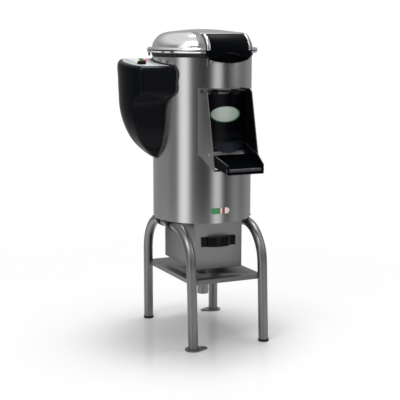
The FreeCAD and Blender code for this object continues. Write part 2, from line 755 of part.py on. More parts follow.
def bearing(z0):
    z1 = z0 + BEARING_W
    step = (BEARING_R - SPINDLE_R) / 3
    outer = ring(BEARING_R, BEARING_R - step, z0, z1)
    inner = ring(SPINDLE_R + RUN + step, SPINDLE_R + RUN, z0, z1)
    cage = ring(BEARING_R - step, SPINDLE_R + RUN + step, z0 + SHEET, z1 - SHEET)
    return tidy(fuse([outer, inner, cage]))


def shaft_seal():
    top = BOWL_FLOOR_TOP - BOWL_FLOOR_T
    return ring(SHAFT_SEAL_R, SPINDLE_R + RUN, top - SHAFT_SEAL_W, top)


# Drive

def grooved(r, bore, z0, width, x, y):
    mid = z0 + width / 2
    wheel = cyl(r, z0, z0 + width, x, y)
    groove = ring(r + CUT, r - GROOVE_D, mid - GROOVE_W / 2, mid + GROOVE_W / 2, x, y)
    wheel = wheel.cut(groove)
    if bore > 0:
        wheel = wheel.cut(cyl(bore, z0 - CUT, z0 + width + CUT, x, y))
    return wheel


def driven_pulley():
    wheel = grooved(PULLEY_R, SPINDLE_R, PULLEY_LOW, PULLEY_W, 0, 0)
    recess = ring(PULLEY_R - GROOVE_D * 2, HUB_R, PULLEY_LOW + PULLEY_W - CUT, PULLEY_LOW + PULLEY_W + CUT)
    return wheel.cut(recess)


def spindle():
    shaft = cyl(SPINDLE_R, SPINDLE_LOW, SPINDLE_TOP)
    return shaft.makeChamfer(1.0, [e for e in shaft.Edges if len(e.Vertexes) == 1])


def motor_rotor():
    z0 = PULLEY_LOW
    shaft = cyl(MOTOR_SHAFT_R, MOTOR_SHAFT_LOW, MOTOR_LOW + MOTOR_SHAFT_UP, 0, MOTOR_Y)
    wheel = grooved(MOTOR_PULLEY_R, 0, z0, PULLEY_W, 0, MOTOR_Y)
    hub = cyl(MOTOR_SHAFT_R + CUT, z0 + PULLEY_W, z0 + PULLEY_W + CUT * 2, 0, MOTOR_Y)
    return tidy(fuse([shaft, wheel, hub]))


def drive_belt():
    r1 = PULLEY_R - GROOVE_D + BELT_GAP
    r2 = MOTOR_PULLEY_R - GROOVE_D + BELT_GAP
    mid = PULLEY_LOW + PULLEY_W / 2
    slope = math.asin((r1 - r2) / MOTOR_Y)

    def loop(grow):
        a = r1 + grow
        b = r2 + grow
        points = [(a * math.cos(slope), a * math.sin(slope)),
                (b * math.cos(slope), MOTOR_Y + b * math.sin(slope)),
                  (-b * math.cos(slope), MOTOR_Y + b * math.sin(slope)),
                  (-a * math.cos(slope), a * math.sin(slope))]
        z0 = mid - BELT_H / 2
        z1 = mid + BELT_H / 2
        return fuse([cyl(a, z0, z1), cyl(b, z0, z1, 0, MOTOR_Y), prism_z(points, z0, z1)])

    return tidy(loop(BELT_T)).cut(loop(0))


def motor_body():
    core = cyl(MOTOR_R - MOTOR_FIN, MOTOR_LOW, MOTOR_TOP, 0, MOTOR_Y)
    fins = []
    for i in range(MOTOR_FIN_COUNT):
        fin = box(MOTOR_R - MOTOR_FIN * 2, MOTOR_R, -MOTOR_FIN / 2, MOTOR_FIN / 2,
                MOTOR_LOW + CUT * 3, MOTOR_TOP - CUT * 3)
        fin.rotate(V(0, 0, 0), Z_AXIS, i * 360 / MOTOR_FIN_COUNT)
        fin.translate(V(0, MOTOR_Y, 0))
        fins.append(fin)
    bell = cyl(MOTOR_R, MOTOR_LOW, MOTOR_LOW + CUT * 3, 0, MOTOR_Y)
    cap = cyl(MOTOR_R, MOTOR_TOP - CUT * 3, MOTOR_TOP, 0, MOTOR_Y)
    top = cap.makeChamfer(CUT, [e for e in cap.Edges if len(e.Vertexes) == 1
            and e.BoundBox.ZMin > MOTOR_TOP - 1])
    body = tidy(fuse([core, bell, top] + fins))
    return body.cut(cyl(MOTOR_SHAFT_R + FIT, MOTOR_LOW - CUT, MOTOR_LOW + MOTOR_SHAFT_UP + CUT, 0, MOTOR_Y))


def motor_mount():
    z1 = MOTOR_LOW
    z0 = z1 - MOUNT_T
    plate = box(-MOUNT_HALF, MOUNT_HALF, MOTOR_Y - MOUNT_HALF, MOTOR_Y + MOUNT_HALF, z0, z1)
    plate = plate.common(cyl(BODY_R - SHEET - FIT, z0, z1))
    plate = cut(plate, [cyl(HOUSING_R + CUT, z0 - CUT, z1 + CUT),
            cyl(MOTOR_SHAFT_R + CUT * 2, z0 - CUT, z1 + CUT, 0, MOTOR_Y)])
    posts = []
    reach = MOUNT_HALF - POST_R
    for px, py in ((-reach, MOTOR_Y - reach), (reach, MOTOR_Y - reach)):
        posts.append(cyl(POST_R, z1, BOWL_FLOOR_TOP - BOWL_FLOOR_T, px, py))
    for px in (-reach - POST_R * 2.5, reach + POST_R * 2.5):
        ear = box(min(px - POST_R, 0), max(px + POST_R, 0), MOTOR_Y + POST_R, MOTOR_Y + POST_R * 3, z0, z1)
        ear = ear.cut(cyl(MOTOR_SHAFT_R + CUT * 2, z0 - CUT, z1 + CUT, 0, MOTOR_Y))
        posts.append(ear)
        posts.append(cyl(POST_R, z1, BOWL_FLOOR_TOP - BOWL_FLOOR_T, px, MOTOR_Y + POST_R * 2))
    return tidy(fuse([plate] + posts))


def abrasive_disc():
    z1 = DISC_LOW + DISC_T
    plate = cyl(DISC_R, DISC_LOW, z1)
    plate = plate.makeChamfer(2.0, [e for e in plate.Edges if len(e.Vertexes) == 1])
    parts = [plate]
    clip = cyl(DISC_R - SHEET * 2, DISC_LOW, z1 + DISC_HUMP * 2)
    for i in range(DISC_HUMPS):
        hump = Part.makeCylinder(DISC_HUMP_R, DISC_R,
                                 V(CAP_NUT_R + SHEET * 2, 0, z1 + DISC_HUMP - DISC_HUMP_R), X_AXIS)
        hump = hump.cut(box(0, DISC_R * 2, -DISC_R, DISC_R, 0, DISC_LOW + DISC_T / 2)).common(clip)
        hump.rotate(V(0, 0, 0), Z_AXIS, i * 360 / DISC_HUMPS)
        parts.append(hump)
    for a in (0, 180):
        vane = box(0, DISC_R - CUT, -VANE_T / 2, VANE_T / 2, BOWL_FLOOR_TOP + VANE_GAP, DISC_LOW)
        vane.rotate(V(0, 0, 0), Z_AXIS, a)
        parts.append(vane)
    parts.append(cyl(HUB_R, BOWL_FLOOR_TOP + VANE_GAP, z1 + SHEET))
    return tidy(fuse(parts)).cut(cyl(SPINDLE_R, 0, BODY_TOP))


def disc_cap():
    z0 = DISC_LOW + DISC_T + SHEET
    nut = cyl(CAP_NUT_R, z0, z0 + CAP_NUT_H)
    nut = nut.makeFillet(CUT, [e for e in nut.Edges if len(e.Vertexes) == 1 and e.BoundBox.ZMin > z0 + 1])
    return nut.cut(cyl(SPINDLE_R, 0, SPINDLE_TOP))


# Water supply

def casing_y(x, r):
    return math.sqrt(r * r - x * x)


def solenoid_valve():
    y0 = casing_y(WATER_X + VALVE_HALF, BODY_R)
    y1 = valve_back()
    h = VALVE_HALF
    block = box(WATER_X - h, WATER_X + h, y0, y1, WATER_Z - h, WATER_Z + h)
    coil = cyl(VALVE_COIL_R, WATER_Z + h, WATER_Z + h + VALVE_COIL_H, WATER_X, y1 - VALVE_COIL_R - SHEET)
    terminals = box(WATER_X - h / 2, WATER_X + h / 2, y1 - SHEET - CUT, y1 + CUT, WATER_Z + h + CUT,
            WATER_Z + h + VALVE_COIL_H / 2)
    return tidy(fuse([block, coil, terminals])).cut(cyl(BODY_R, 0, BODY_TOP * 2))


def valve_back():
    return casing_y(WATER_X, BODY_R) + VALVE_OUT


def pointed_back(shape, x, z):
    moved = shape.copy()
    moved.rotate(V(0, 0, 0), X_AXIS, -90)
    moved.translate(V(x, 0, z))
    return moved


def water_inlet():
    y0 = valve_back()
    y1 = y0 + INLET_NUT_H
    nut = hexagon(INLET_NUT_R, y0, y1, 0, 0)
    stub = cyl(INLET_R, y1, y1 + INLET_LEN)
    fitting = tidy(fuse([nut, stub])).cut(cyl(WATER_PIPE_R, y0 + CUT, BODY_TOP))
    return pointed_back(fitting, WATER_X, WATER_Z)


def spray_pipe():
    r = WATER_PIPE_R
    y_wall = casing_y(WATER_X + r, BODY_R) - FIT
    y_mid = casing_y(WATER_X, BODY_R - SHEET) - r * 1.6
    runs = [rod_y(r, y_mid, y_wall, WATER_X, WATER_Z), cyl(r, WATER_Z, SPRAY_Z, WATER_X, y_mid),
            rod_y(r, casing_y(WATER_X, BOWL_R) - CUT * 2, y_mid, WATER_X, SPRAY_Z)]
    for z in (WATER_Z, SPRAY_Z):
        runs.append(Part.makeSphere(r, V(WATER_X, y_mid, z)))
    nozzle = rod_y(r + SHEET, casing_y(WATER_X, BOWL_R) - CUT * 3,
            casing_y(WATER_X, BOWL_R) - CUT * 2, WATER_X, SPRAY_Z)
    pipe = tidy(fuse(runs + [nozzle]))
    return pipe.cut(rod_y(r - WATER_PIPE_WALL, 0, y_mid, WATER_X, SPRAY_Z))


# Chute

def chute_profile(grow, rear):
    front_top = CHUTE_TOP_FRONT_Y
    return [(rear, CHUTE_TOP + grow), (front_top + CHUTE_CORNER * 1.6, CHUTE_TOP + grow),
            (front_top - grow, CHUTE_TOP - CHUTE_CORNER),
            (CHUTE_LOW_FRONT_Y - grow, CHUTE_LOW_Z + CHUTE_CORNER / 3),
            (CHUTE_LOW_FRONT_Y - grow + CHUTE_CORNER / 3, CHUTE_LOW_Z), (rear, CHUTE_REAR_LOW_Z - grow)]


def chute_frame():
    rear = -BODY_R + CHUTE_REAR_IN
    plate = prism_x(chute_profile(0, rear), CHUTE_HALF - CHUTE_T, CHUTE_HALF)
    plates = both_sides(plate)
    y = CHUTE_LOW_FRONT_Y + CHUTE_CORNER / 3
    z = CHUTE_LOW_Z
    slope = (CHUTE_REAR_LOW_Z - z) / (rear - y)
    t = CHUTE_T / math.cos(math.atan(slope))
    rail = prism_x([(y, z), (y, z + t), (y + RAIL_DEPTH, z + t + RAIL_DEPTH * slope),
            (y + RAIL_DEPTH, z + RAIL_DEPTH * slope)],
                   -CHUTE_HALF + CHUTE_T, CHUTE_HALF - CHUTE_T)
    half = CHUTE_HALF
    skin = ring(BODY_R + CHUTE_T, BODY_R, CHUTE_REAR_LOW_Z - FLANGE_W, CHUTE_TOP + FLANGE_W)
    window = box(-PORT_HALF, PORT_HALF, -BODY_R * 2, 0, PORT_BOTTOM, PORT_TOP)
    skin = skin.common(box(-half, half, -BODY_R * 2, 0, CHUTE_REAR_LOW_Z - FLANGE_W / 2,
            CHUTE_TOP)).cut(window)
    frame = tidy(fuse([plates, rail, skin]))
    frame = frame.cut(cyl(BODY_R, 0, BODY_TOP))
    bores = [rod_x(DOOR_ROD_R, -BODY_R, BODY_R, DOOR_AXIS_Y, DOOR_AXIS_Z)]
    return cut(frame, bores)


def chute_liner():
    rear = -casing_y(CHUTE_HALF - CHUTE_T - LINER_T, BODY_R + CHUTE_T) - FIT
    inset = CHUTE_CORNER / 3
    points = [(rear, CHUTE_TOP - inset), (CHUTE_TOP_FRONT_Y + CHUTE_CORNER * 2, CHUTE_TOP - inset),
              (CHUTE_TOP_FRONT_Y + inset, CHUTE_TOP - CHUTE_CORNER * 2),
              (CHUTE_LOW_FRONT_Y + inset * 4, CHUTE_LOW_Z + RAIL_DEPTH * 2),
              (rear, CHUTE_REAR_LOW_Z + RAIL_DEPTH)]
    x1 = CHUTE_HALF - CHUTE_T
    side = prism_x(points, x1 - LINER_T, x1)
    side = side.cut(rod_x(DOOR_ROD_R + FIT, 0, BODY_R, DOOR_AXIS_Y, DOOR_AXIS_Z))
    return both_sides(side)


def door_rod():
    x = CHUTE_HALF
    rod = rod_x(DOOR_ROD_R, -x, x, DOOR_AXIS_Y, DOOR_AXIS_Z)
    head = rod_x(DOOR_ROD_R * 1.6, x, x + SCREW_H, DOOR_AXIS_Y, DOOR_AXIS_Z)
    return tidy(fuse([rod, both_sides(head)]))


def discharge_door():
    r0 = DOOR_R - DOOR_T
    plate = ring(DOOR_R, r0, DOOR_BOTTOM, DOOR_TOP)
    clip = box(-DOOR_HALF, DOOR_HALF, -BODY_R * 2, 0, 0, BODY_TOP)
    plate = plate.common(clip)
    hollow = ring(DOOR_R - DOOR_SHELL, r0 - CUT, DOOR_BOTTOM + DOOR_SHELL, DOOR_TOP - DOOR_SHELL)
    hollow = hollow.common(box(-DOOR_HALF + DOOR_SHELL, DOOR_HALF - DOOR_SHELL, -BODY_R * 2, 0, 0, BODY_TOP))
    rib = box(-PORT_HALF - SEAL_W, PORT_HALF + SEAL_W, -BODY_R * 2, 0, DOOR_BOTTOM, PORT_TOP + SEAL_W)
    back = ring(r0 + DOOR_SHELL / 2, r0, DOOR_BOTTOM, DOOR_TOP).common(clip).common(rib)
    parts = [plate.cut(hollow), back]
    cone = Part.makeCone(DOOR_GRIP_R, DOOR_R - DOOR_GRIP_T, DOOR_GRIP_TOP - DOOR_GRIP_LOW,
            V(0, 0, DOOR_GRIP_LOW), Z_AXIS)
    core = Part.makeCone(DOOR_GRIP_R - DOOR_GRIP_T, DOOR_R - DOOR_GRIP_T * 2, DOOR_GRIP_TOP - DOOR_GRIP_LOW,
                         V(0, 0, DOOR_GRIP_LOW), Z_AXIS)
    visor = cone.cut(core).common(lens(DOOR_GRIP_HALF, DOOR_GRIP_SIDE_Z, DOOR_GRIP_TOP,
            DOOR_GRIP_LOW, -BODY_R * 2, 0))
    parts.append(visor.cut(cyl(DOOR_R - SHEET, 0, BODY_TOP)))
    arm = prism_x([(DOOR_AXIS_Y - KNUCKLE_R, DOOR_AXIS_Z), (DOOR_AXIS_Y + KNUCKLE_R, DOOR_AXIS_Z),
                   (DOOR_AXIS_Y + KNUCKLE_R / 2, DOOR_TOP - DOOR_SHELL),
                   (-DOOR_R + SHEET, DOOR_TOP - DOOR_SHELL)],
                  KNUCKLE_X - KNUCKLE_W / 2, KNUCKLE_X + KNUCKLE_W / 2)
    knuckle = rod_x(KNUCKLE_R, KNUCKLE_X - KNUCKLE_W / 2, KNUCKLE_X + KNUCKLE_W / 2, DOOR_AXIS_Y,
            DOOR_AXIS_Z)
    parts.append(both_sides(fuse([arm, knuckle])))
    door = tidy(fuse(parts))
    door = door.cut(rod_x(DOOR_ROD_R + FIT, -BODY_R, BODY_R, DOOR_AXIS_Y, DOOR_AXIS_Z))
    return one_solid(door)


def door_gasket():
    r0 = DOOR_R - DOOR_T
    r_in = BODY_R + CHUTE_T + FIT
    seal = ring(r0, r_in, DOOR_BOTTOM, PORT_TOP + SEAL_W)
    seal = seal.common(box(-PORT_HALF - SEAL_W, PORT_HALF + SEAL_W, -BODY_R * 2, 0, 0, BODY_TOP))
    return seal.cut(box(-PORT_HALF, PORT_HALF, -BODY_R * 2, 0, DOOR_BOTTOM + SEAL_W, PORT_TOP))


def door_badge():
    plate = ring(DOOR_R + DOOR_BADGE_T, DOOR_R, DOOR_BADGE_Z - DOOR_BADGE_HALF_H,
            DOOR_BADGE_Z + DOOR_BADGE_HALF_H)
    oval = Part.Ellipse(V(0, 0, 0), DOOR_BADGE_HALF_W, DOOR_BADGE_HALF_H).toShape()
    stamp = Part.Face(Part.Wire(oval)).extrude(V(0, 0, BODY_R * 2))
    stamp.rotate(V(0, 0, 0), X_AXIS, 90)
    stamp.translate(V(0, 0, DOOR_BADGE_Z))
    return plate.common(stamp)


def tray_half_width(y):
    full = CHUTE_HALF - CHUTE_T - LINER_T - FIT
    if y >= TRAY_MOUTH_Y:
        return full
    part = (TRAY_MOUTH_Y - y) / (TRAY_MOUTH_Y - TRAY_FRONT_Y)
    return full + (TRAY_FRONT_HALF - full) * part


def tray_solid(inset, lift, extend):
    full = tray_half_width(0) - inset
    front = TRAY_FRONT_HALF - inset
    y0 = TRAY_REAR_Y + extend
    y1 = TRAY_MOUTH_Y
    y2 = TRAY_FRONT_Y - extend
    plan = prism_z([(-full, y0), (-full, y1), (-front, y2), (front, y2), (full, y1), (full, y0)], 0,
            BODY_TOP)
    side = [(y0, TRAY_TOP_REAR + extend * 9), (y1, TRAY_TOP_MOUTH + extend * 9),
            (y2, TRAY_TOP_FRONT + extend * 9),
            (y2, TRAY_LOW_FRONT + lift), (y1, TRAY_LOW_MOUTH + lift), (y0, TRAY_LOW_REAR + lift)]
    return plan.common(prism_x(side, -BODY_R, BODY_R))


def discharge_tray():
    shell = tray_solid(0, 0, 0).cut(tray_solid(TRAY_WALL, TRAY_WALL, CUT))
    bulge = rod_x(TRAY_BAR_R + TRAY_WALL, TRAY_FRONT_HALF - TRAY_WALL * 2, TRAY_FRONT_HALF + SHEET,
            TRAY_BAR_Y, TRAY_BAR_Z + SHEET)
    shell = fuse([shell, both_sides(bulge)])
    shell = shell.cut(rod_x(TRAY_BAR_R, -BODY_R, BODY_R, TRAY_BAR_Y, TRAY_BAR_Z + SHEET))
    shell = shell.cut(cyl(BODY_R + CHUTE_T + FIT, 0, BODY_TOP))
    return one_solid(shell)


def tray_bar():
    x = TRAY_FRONT_HALF + SHEET
    return rod_x(TRAY_BAR_R, -x, x, TRAY_BAR_Y, TRAY_BAR_Z + SHEET)


def chute_screws():
    head = rod_x(SCREW_R, CHUTE_HALF, CHUTE_HALF + SCREW_H, CHUTE_SCREW_Y, CHUTE_SCREW_Z)
    low = BOX_SECTIONS[-1][0]
    tip = cyl(SCREW_R, low - CUT, low - FIT, BOX_TIP_X, 0)
    return Part.makeCompound([head, mirror_x(head), tip])


# Lid

def smooth(points):
    curve = Part.BSplineCurve()
    curve.interpolate(points)
    return curve.toShape()


def dome_face(shrink):
    # outline of the dome lowered and narrowed by the wall, closed along the axis and the rim plane
    points = []
    for r, z in DOME:
        k = max(r - shrink, 0.0) if r > 0 else 0.0
        points.append(V(k, 0, z - shrink if z > LID_RIM_TOP else z))
    top = smooth(points)
    end = points[-1]
    start = points[0]
    low = LID_RIM_LOW - CUT * 4
    lines = [Part.LineSegment(end, V(0, 0, low)).toShape(),
            Part.LineSegment(V(0, 0, low), V(start.x, 0, low)).toShape(),
             Part.LineSegment(V(start.x, 0, low), start).toShape()]
    return Part.Face(Part.Wire([top] + lines))


def dome_solid(shrink):
    return dome_face(shrink).revolve(V(0, 0, 0), Z_AXIS, 360)


def rim_ring():
    r = LID_RIM_R
    z0 = LID_RIM_LOW
    z1 = LID_RIM_TOP
    k = LID_ROUND
    mid = (z0 + z1) / 2
    points = [(LID_INNER_R, z0), (r - k, z0), (r - k * 0.3, z0 + k * 0.3), (r, z0 + k),
            (r, mid - SHEET), (r - SHEET, mid),
              (r, mid + SHEET), (r, z1 - k), (r - k * 0.3, z1 - k * 0.3), (r - k, z1),
              (DOME[0][0] - LID_WALL, z1),
              (DOME[0][0] - LID_WALL, z0 + LID_WALL * 2), (LID_INNER_R, z0 + LID_WALL * 2)]
    return turned(points)


def wing_solid(shrink, low, half):
    # turned outline of the forward extension, narrowed to its width
    points = [V(r - shrink, 0, z - shrink) for r, z in COVER_PROFILE]
    curve = smooth(points)
    first = points[0]
    last = points[-1]
    corners = [last, V(last.x, 0, low), V(0, 0, low), V(0, 0, first.z), first]
    lines = [Part.LineSegment(a, b).toShape() for a, b in zip(corners[:-1], corners[1:])]
    solid = Part.Face(Part.Wire([curve] + lines)).revolve(V(0, 0, 0), Z_AXIS, 360)
    return solid.common(box(-half, half, -BODY_R * 2, 0, 0, BODY_TOP * 2))


def lid_dome():
    shell = dome_solid(0).cut(dome_solid(LID_WALL))
    shell = shell.cut(cyl(BODY_R * 2, 0, LID_RIM_TOP - LID_WALL))
    outer = wing_solid(COVER_T, WING_LOW_Z, WING_HALF)
    w = LID_WALL
    inner = wing_solid(COVER_T + w, WING_LOW_Z - CUT * 2, WING_HALF - w)
    front_gap = box(-WING_HALF + w, WING_HALF - w, -BODY_R * 2, -BODY_R - CUT * 4, WING_LOW_Z - CUT,
            WING_FRONT_LOW_Z)
    wing = outer.cut(inner).cut(front_gap).cut(dome_solid(0))
    wing = wing.cut(cyl(LID_RIM_R - LID_ROUND, 0, LID_RIM_TOP))
    return one_solid(fuse([shell, rim_ring(), wing]))


def lid_grip_cover():
    front_r = COVER_PROFILE[-1][0]
    outer = wing_solid(0, COVER_LOW_Z, WING_HALF)
    inner = wing_solid(COVER_T, COVER_LOW_Z - CUT * 2, WING_HALF + CUT)
    skin = outer.cut(inner).cut(cyl(COVER_START_R, 0, BODY_TOP * 2))
    block = ring(front_r, GRIP_BLOCK_IN_R, COVER_LOW_Z, WING_FRONT_LOW_Z - SHEET)
    block = block.common(box(-WING_HALF + LID_WALL * 2, WING_HALF - LID_WALL * 2, -BODY_R * 2, 0, 0,
            BODY_TOP * 2))
    cover = fuse([skin, block.common(outer)])
    x = WING_HALF + CUT
    low = COVER_LOW_Z - CUT * 4
    corner = COVER_CORNER_X
    left = V(-corner, 0, COVER_CORNER_Z)
    right = V(corner, 0, COVER_CORNER_Z)
    side_slope = (COVER_SIDE_Z - COVER_CORNER_Z) / (WING_HALF - corner)
    edge_z = COVER_CORNER_Z + side_slope * (x - corner)
    arc = Part.Arc(left, V(0, 0, COVER_LOW_Z), right).toShape()
    corners = [right, V(x, 0, edge_z), V(x, 0, low), V(-x, 0, low), V(-x, 0, edge_z), left]
    lines = [Part.LineSegment(a, b).toShape() for a, b in zip(corners[:-1], corners[1:])]
    waste = Part.Face(Part.Wire([arc] + lines)).extrude(V(0, -BODY_R * 2, 0))
    cover = cover.cut(waste)
    pocket = lens(GRIP_SIDE_X, GRIP_SIDE_Z, GRIP_TOP_Z, GRIP_LOW_Z, -BODY_R * 2, 0)
    pocket = pocket.cut(cyl(front_r - GRIP_DEPTH, 0, BODY_TOP * 2))
    return one_solid(cover.cut(pocket))


def lid_gasket():
    z0 = BODY_TOP + FIT
    z1 = LID_RIM_LOW
    points = [(SEAL_IN_R, z1), (SEAL_IN_R + 2, z0 + 4), (SEAL_IN_R + 5, z0), (SEAL_TOP_R - 7, z0),
            (SEAL_TOP_R - 3, z0 + 4),
              (SEAL_TOP_R, z1)]
    return turned(points)


def lid_hinge_leaf():
    x = HINGE_HALF - HINGE_GAP
    mid = (LID_RIM_LOW + LID_RIM_TOP) / 2
    knuckle = rod_x(HINGE_KNUCKLE_R, -x, x, HINGE_Y, HINGE_Z)
    plate = box(-x, x, LID_RIM_R - CUT * 3, HINGE_Y, LID_RIM_LOW, mid + CUT)
    web = prism_x([(HINGE_Y - HINGE_KNUCKLE_R, HINGE_Z), (HINGE_Y + HINGE_KNUCKLE_R, HINGE_Z),
            (HINGE_Y, mid + CUT),
                   (HINGE_Y - HINGE_KNUCKLE_R, mid + CUT)], -x, x)
    leaf = tidy(fuse([knuckle, plate, web]))
    leaf = leaf.cut(cyl(LID_RIM_R, 0, BODY_TOP * 2))
    return one_solid(leaf.cut(rod_x(HINGE_PIN_R + FIT, -BODY_R, BODY_R, HINGE_Y, HINGE_Z)))


def hinge_bracket():
    x0 = HINGE_HALF
    x1 = HINGE_HALF + HINGE_EAR_T
    rear = casing_y(x1, BODY_R) - CUT
    k = HINGE_KNUCKLE_R
    ear = prism_x([(rear, BODY_TOP - CUT * 7), (rear, BODY_TOP - SHEET),
            (BODY_R + CUT * 2, BODY_TOP - SHEET),
                   (HINGE_Y - k * 0.7, HINGE_Z + k * 0.7), (HINGE_Y + k, HINGE_Z),
                   (HINGE_Y + k * 0.7, HINGE_Z - k * 0.7)],
                  x0, x1)
    eye = rod_x(k, x0, x1, HINGE_Y, HINGE_Z)
    wall = ring(BODY_R + CHUTE_T, BODY_R, BODY_TOP - CUT * 7, BODY_TOP - SHEET)
    wall = wall.common(box(-x1, x1, 0, BODY_R * 2, 0, BODY_TOP))
    bracket = tidy(fuse([both_sides(fuse([ear, eye])), wall]))
    bracket = bracket.cut(cyl(BODY_R, 0, BODY_TOP * 2))
    return bracket.cut(rod_x(HINGE_PIN_R, -BODY_R, BODY_R, HINGE_Y, HINGE_Z))


def hinge_pin():
    x = HINGE_HALF + HINGE_EAR_T
    pin = rod_x(HINGE_PIN_R, -x, x, HINGE_Y, HINGE_Z)
    head = rod_x(HINGE_PIN_R * 1.6, x, x + SHEET * 2, HINGE_Y, HINGE_Z)
    return tidy(fuse([pin, both_sides(head)]))


def lid_screws():
    heads = []
    r = (DOME[0][0] + LID_RIM_R - LID_ROUND) / 2
    for a in (60, 82, 98, 120):
        px = r * math.cos(math.radians(a))
        py = r * math.sin(math.radians(a))
        heads.append(cyl(SCREW_R * 0.8, LID_RIM_TOP, LID_RIM_TOP + SHEET, px, py))
    return Part.makeCompound(heads)


def lid_switch_tab():
    tab = box(-TAB_HALF, TAB_HALF, -LID_RIM_R + CUT, -SEAL_TOP_R - SHEET * 3, BODY_TOP + SHEET * 2,
            LID_RIM_LOW)
    tab.rotate(V(0, 0, 0), Z_AXIS, TAB_AZ)
    return tab


def lid_catch():
    r = BODY_R
    wedge = prism_x([(-r + CUT, BODY_TOP - SHEET), (-r - CATCH_OUT, BODY_TOP - SHEET),
            (-r - CATCH_OUT, BODY_TOP - CUT),
                     (-r + CUT, BODY_TOP - CATCH_H)], CATCH_X - CATCH_T / 2, CATCH_X + CATCH_T / 2)
    pad = ring(r + CATCH_T, r, BODY_TOP - CATCH_H, BODY_TOP - SHEET)
    pad = pad.common(box(CATCH_X - CATCH_T * 4, CATCH_X + CATCH_T * 4, -r * 2, 0, 0, BODY_TOP))
    plate = tidy(fuse([wedge, pad])).cut(cyl(r, 0, BODY_TOP * 2))
    return both_sides(plate)


# Control box

def box_wire(zc, tilt, half, out, back):
    r = min(BOX_CORNER_R, half * 0.6)
    big = BOX_ARC_R
    cx = -out + big
    ccx = cx - math.sqrt((big - r) ** 2 - (half - r) ** 2)
    ccy = half - r
    k = big / (big - r)
    tx = cx + (ccx - cx) * k
    ty = ccy * k
    dx = (tx - ccx) / r
    dy = (ty - ccy) / r + 1.0
    n = math.hypot(dx, dy)
    mx = ccx + r * dx / n
    my = ccy + r * dy / n
    p = [V(-back, half, 0), V(ccx, half, 0), V(mx, my, 0), V(tx, ty, 0), V(-out, 0, 0),
            V(tx, -ty, 0), V(mx, -my, 0),
         V(ccx, -half, 0), V(-back, -half, 0)]
    wire = Part.Wire([Part.LineSegment(p[0], p[1]).toShape(), Part.Arc(p[1], p[2], p[3]).toShape(),
                      Part.Arc(p[3], p[4], p[5]).toShape(), Part.Arc(p[5], p[6], p[7]).toShape(),
                      Part.LineSegment(p[7], p[8]).toShape(), Part.LineSegment(p[8], p[0]).toShape()])
    wire.rotate(V(0, 0, 0), X_AXIS, tilt)
    wire.translate(V(0, 0, zc))
    return wire


def box_loft(grow):
    wires = []
    last = len(BOX_SECTIONS) - 1
    for i, (zc, tilt, half, out) in enumerate(BOX_SECTIONS):
        lift = 0.0
        if i == 0:
            lift = grow
        if i == last:
            lift = -grow
        wires.append(box_wire(zc + lift, tilt, half + grow, out + grow, BOX_BACK_X))
    return Part.makeLoft(wires, True, False)


def control_box():
    shell = box_loft(0).cut(box_loft(-BOX_WALL))
    shell = shell.cut(cyl(BODY_R + BOX_FLANGE_T, 0, BODY_TOP * 2))
    gland = rod_y(GLAND_R, 0, BODY_R, GLAND_X, GLAND_Z)
    holes = [on_panel(cyl(BUTTON_STEM_R + BUTTON_GAP, -BUTTON_STEM, CUT, START_X, START_Y)),
             on_panel(cyl(BUTTON_STEM_R + BUTTON_GAP, -BUTTON_STEM, CUT, STOP_X, STOP_Y)),
             on_panel(cyl(KNOB_SHAFT_R + FIT, -BUTTON_STEM, CUT, KNOB_X, KNOB_Y))]
    return one_solid(cut(shell, [gland] + holes))


def control_gasket():
    band = box_loft(BOX_FLANGE).cut(box_loft(-BOX_WALL))
    band = band.common(ring(BODY_R + BOX_FLANGE_T, BODY_R, 0, BODY_TOP * 2))
    return one_solid(band.common(box(-BODY_R * 2, -CUT, -BODY_R, BODY_R, 0, BODY_TOP * 2)))


def on_panel(shape):
    moved = shape.copy()
    moved.rotate(V(0, 0, 0), X_AXIS, PANEL_TILT)
    moved.translate(V(PANEL_X, 0, PANEL_Z))
    return moved


def control_label():
    zc, tilt, half, out = BOX_SECTIONS[0]
    outline = box_wire(0, 0, half - LABEL_INSET, out - LABEL_INSET, BOX_BACK_X)
    plate = Part.Face(outline).extrude(V(0, 0, LABEL_T))
    plate.translate(V(-PANEL_X, 0, 0))
    plate = on_panel(plate)
    plate = plate.cut(cyl(BODY_R + BOX_FLANGE_T + BOX_FLANGE, 0, BODY_TOP * 2))
    holes = [on_panel(cyl(BUTTON_STEM_R + BUTTON_GAP, -BUTTON_STEM, CUT, START_X, START_Y)),
             on_panel(cyl(BUTTON_STEM_R + BUTTON_GAP, -BUTTON_STEM, CUT, STOP_X, STOP_Y)),
             on_panel(cyl(KNOB_SHAFT_R + FIT, -BUTTON_STEM, CUT, KNOB_X, KNOB_Y))]
    return cut(plate, holes)


def push_button(x, y):
    z0 = LABEL_T + BUTTON_TRAVEL + BUTTON_GAP
    head = cyl(BUTTON_R, z0, z0 + BUTTON_H, x, y)
    head = head.makeFillet(1.2, [e for e in head.Edges if len(e.Vertexes) == 1 and e.BoundBox.ZMin > z0 + 1])
    stem = cyl(BUTTON_STEM_R, -BUTTON_STEM + BUTTON_TRAVEL, z0, x, y)
    collar = cyl(BUTTON_STEM_R + SHEET, -BUTTON_STEM + BUTTON_TRAVEL, -BOX_WALL - CUT, x, y)
    return on_panel(tidy(fuse([head, stem, collar])))


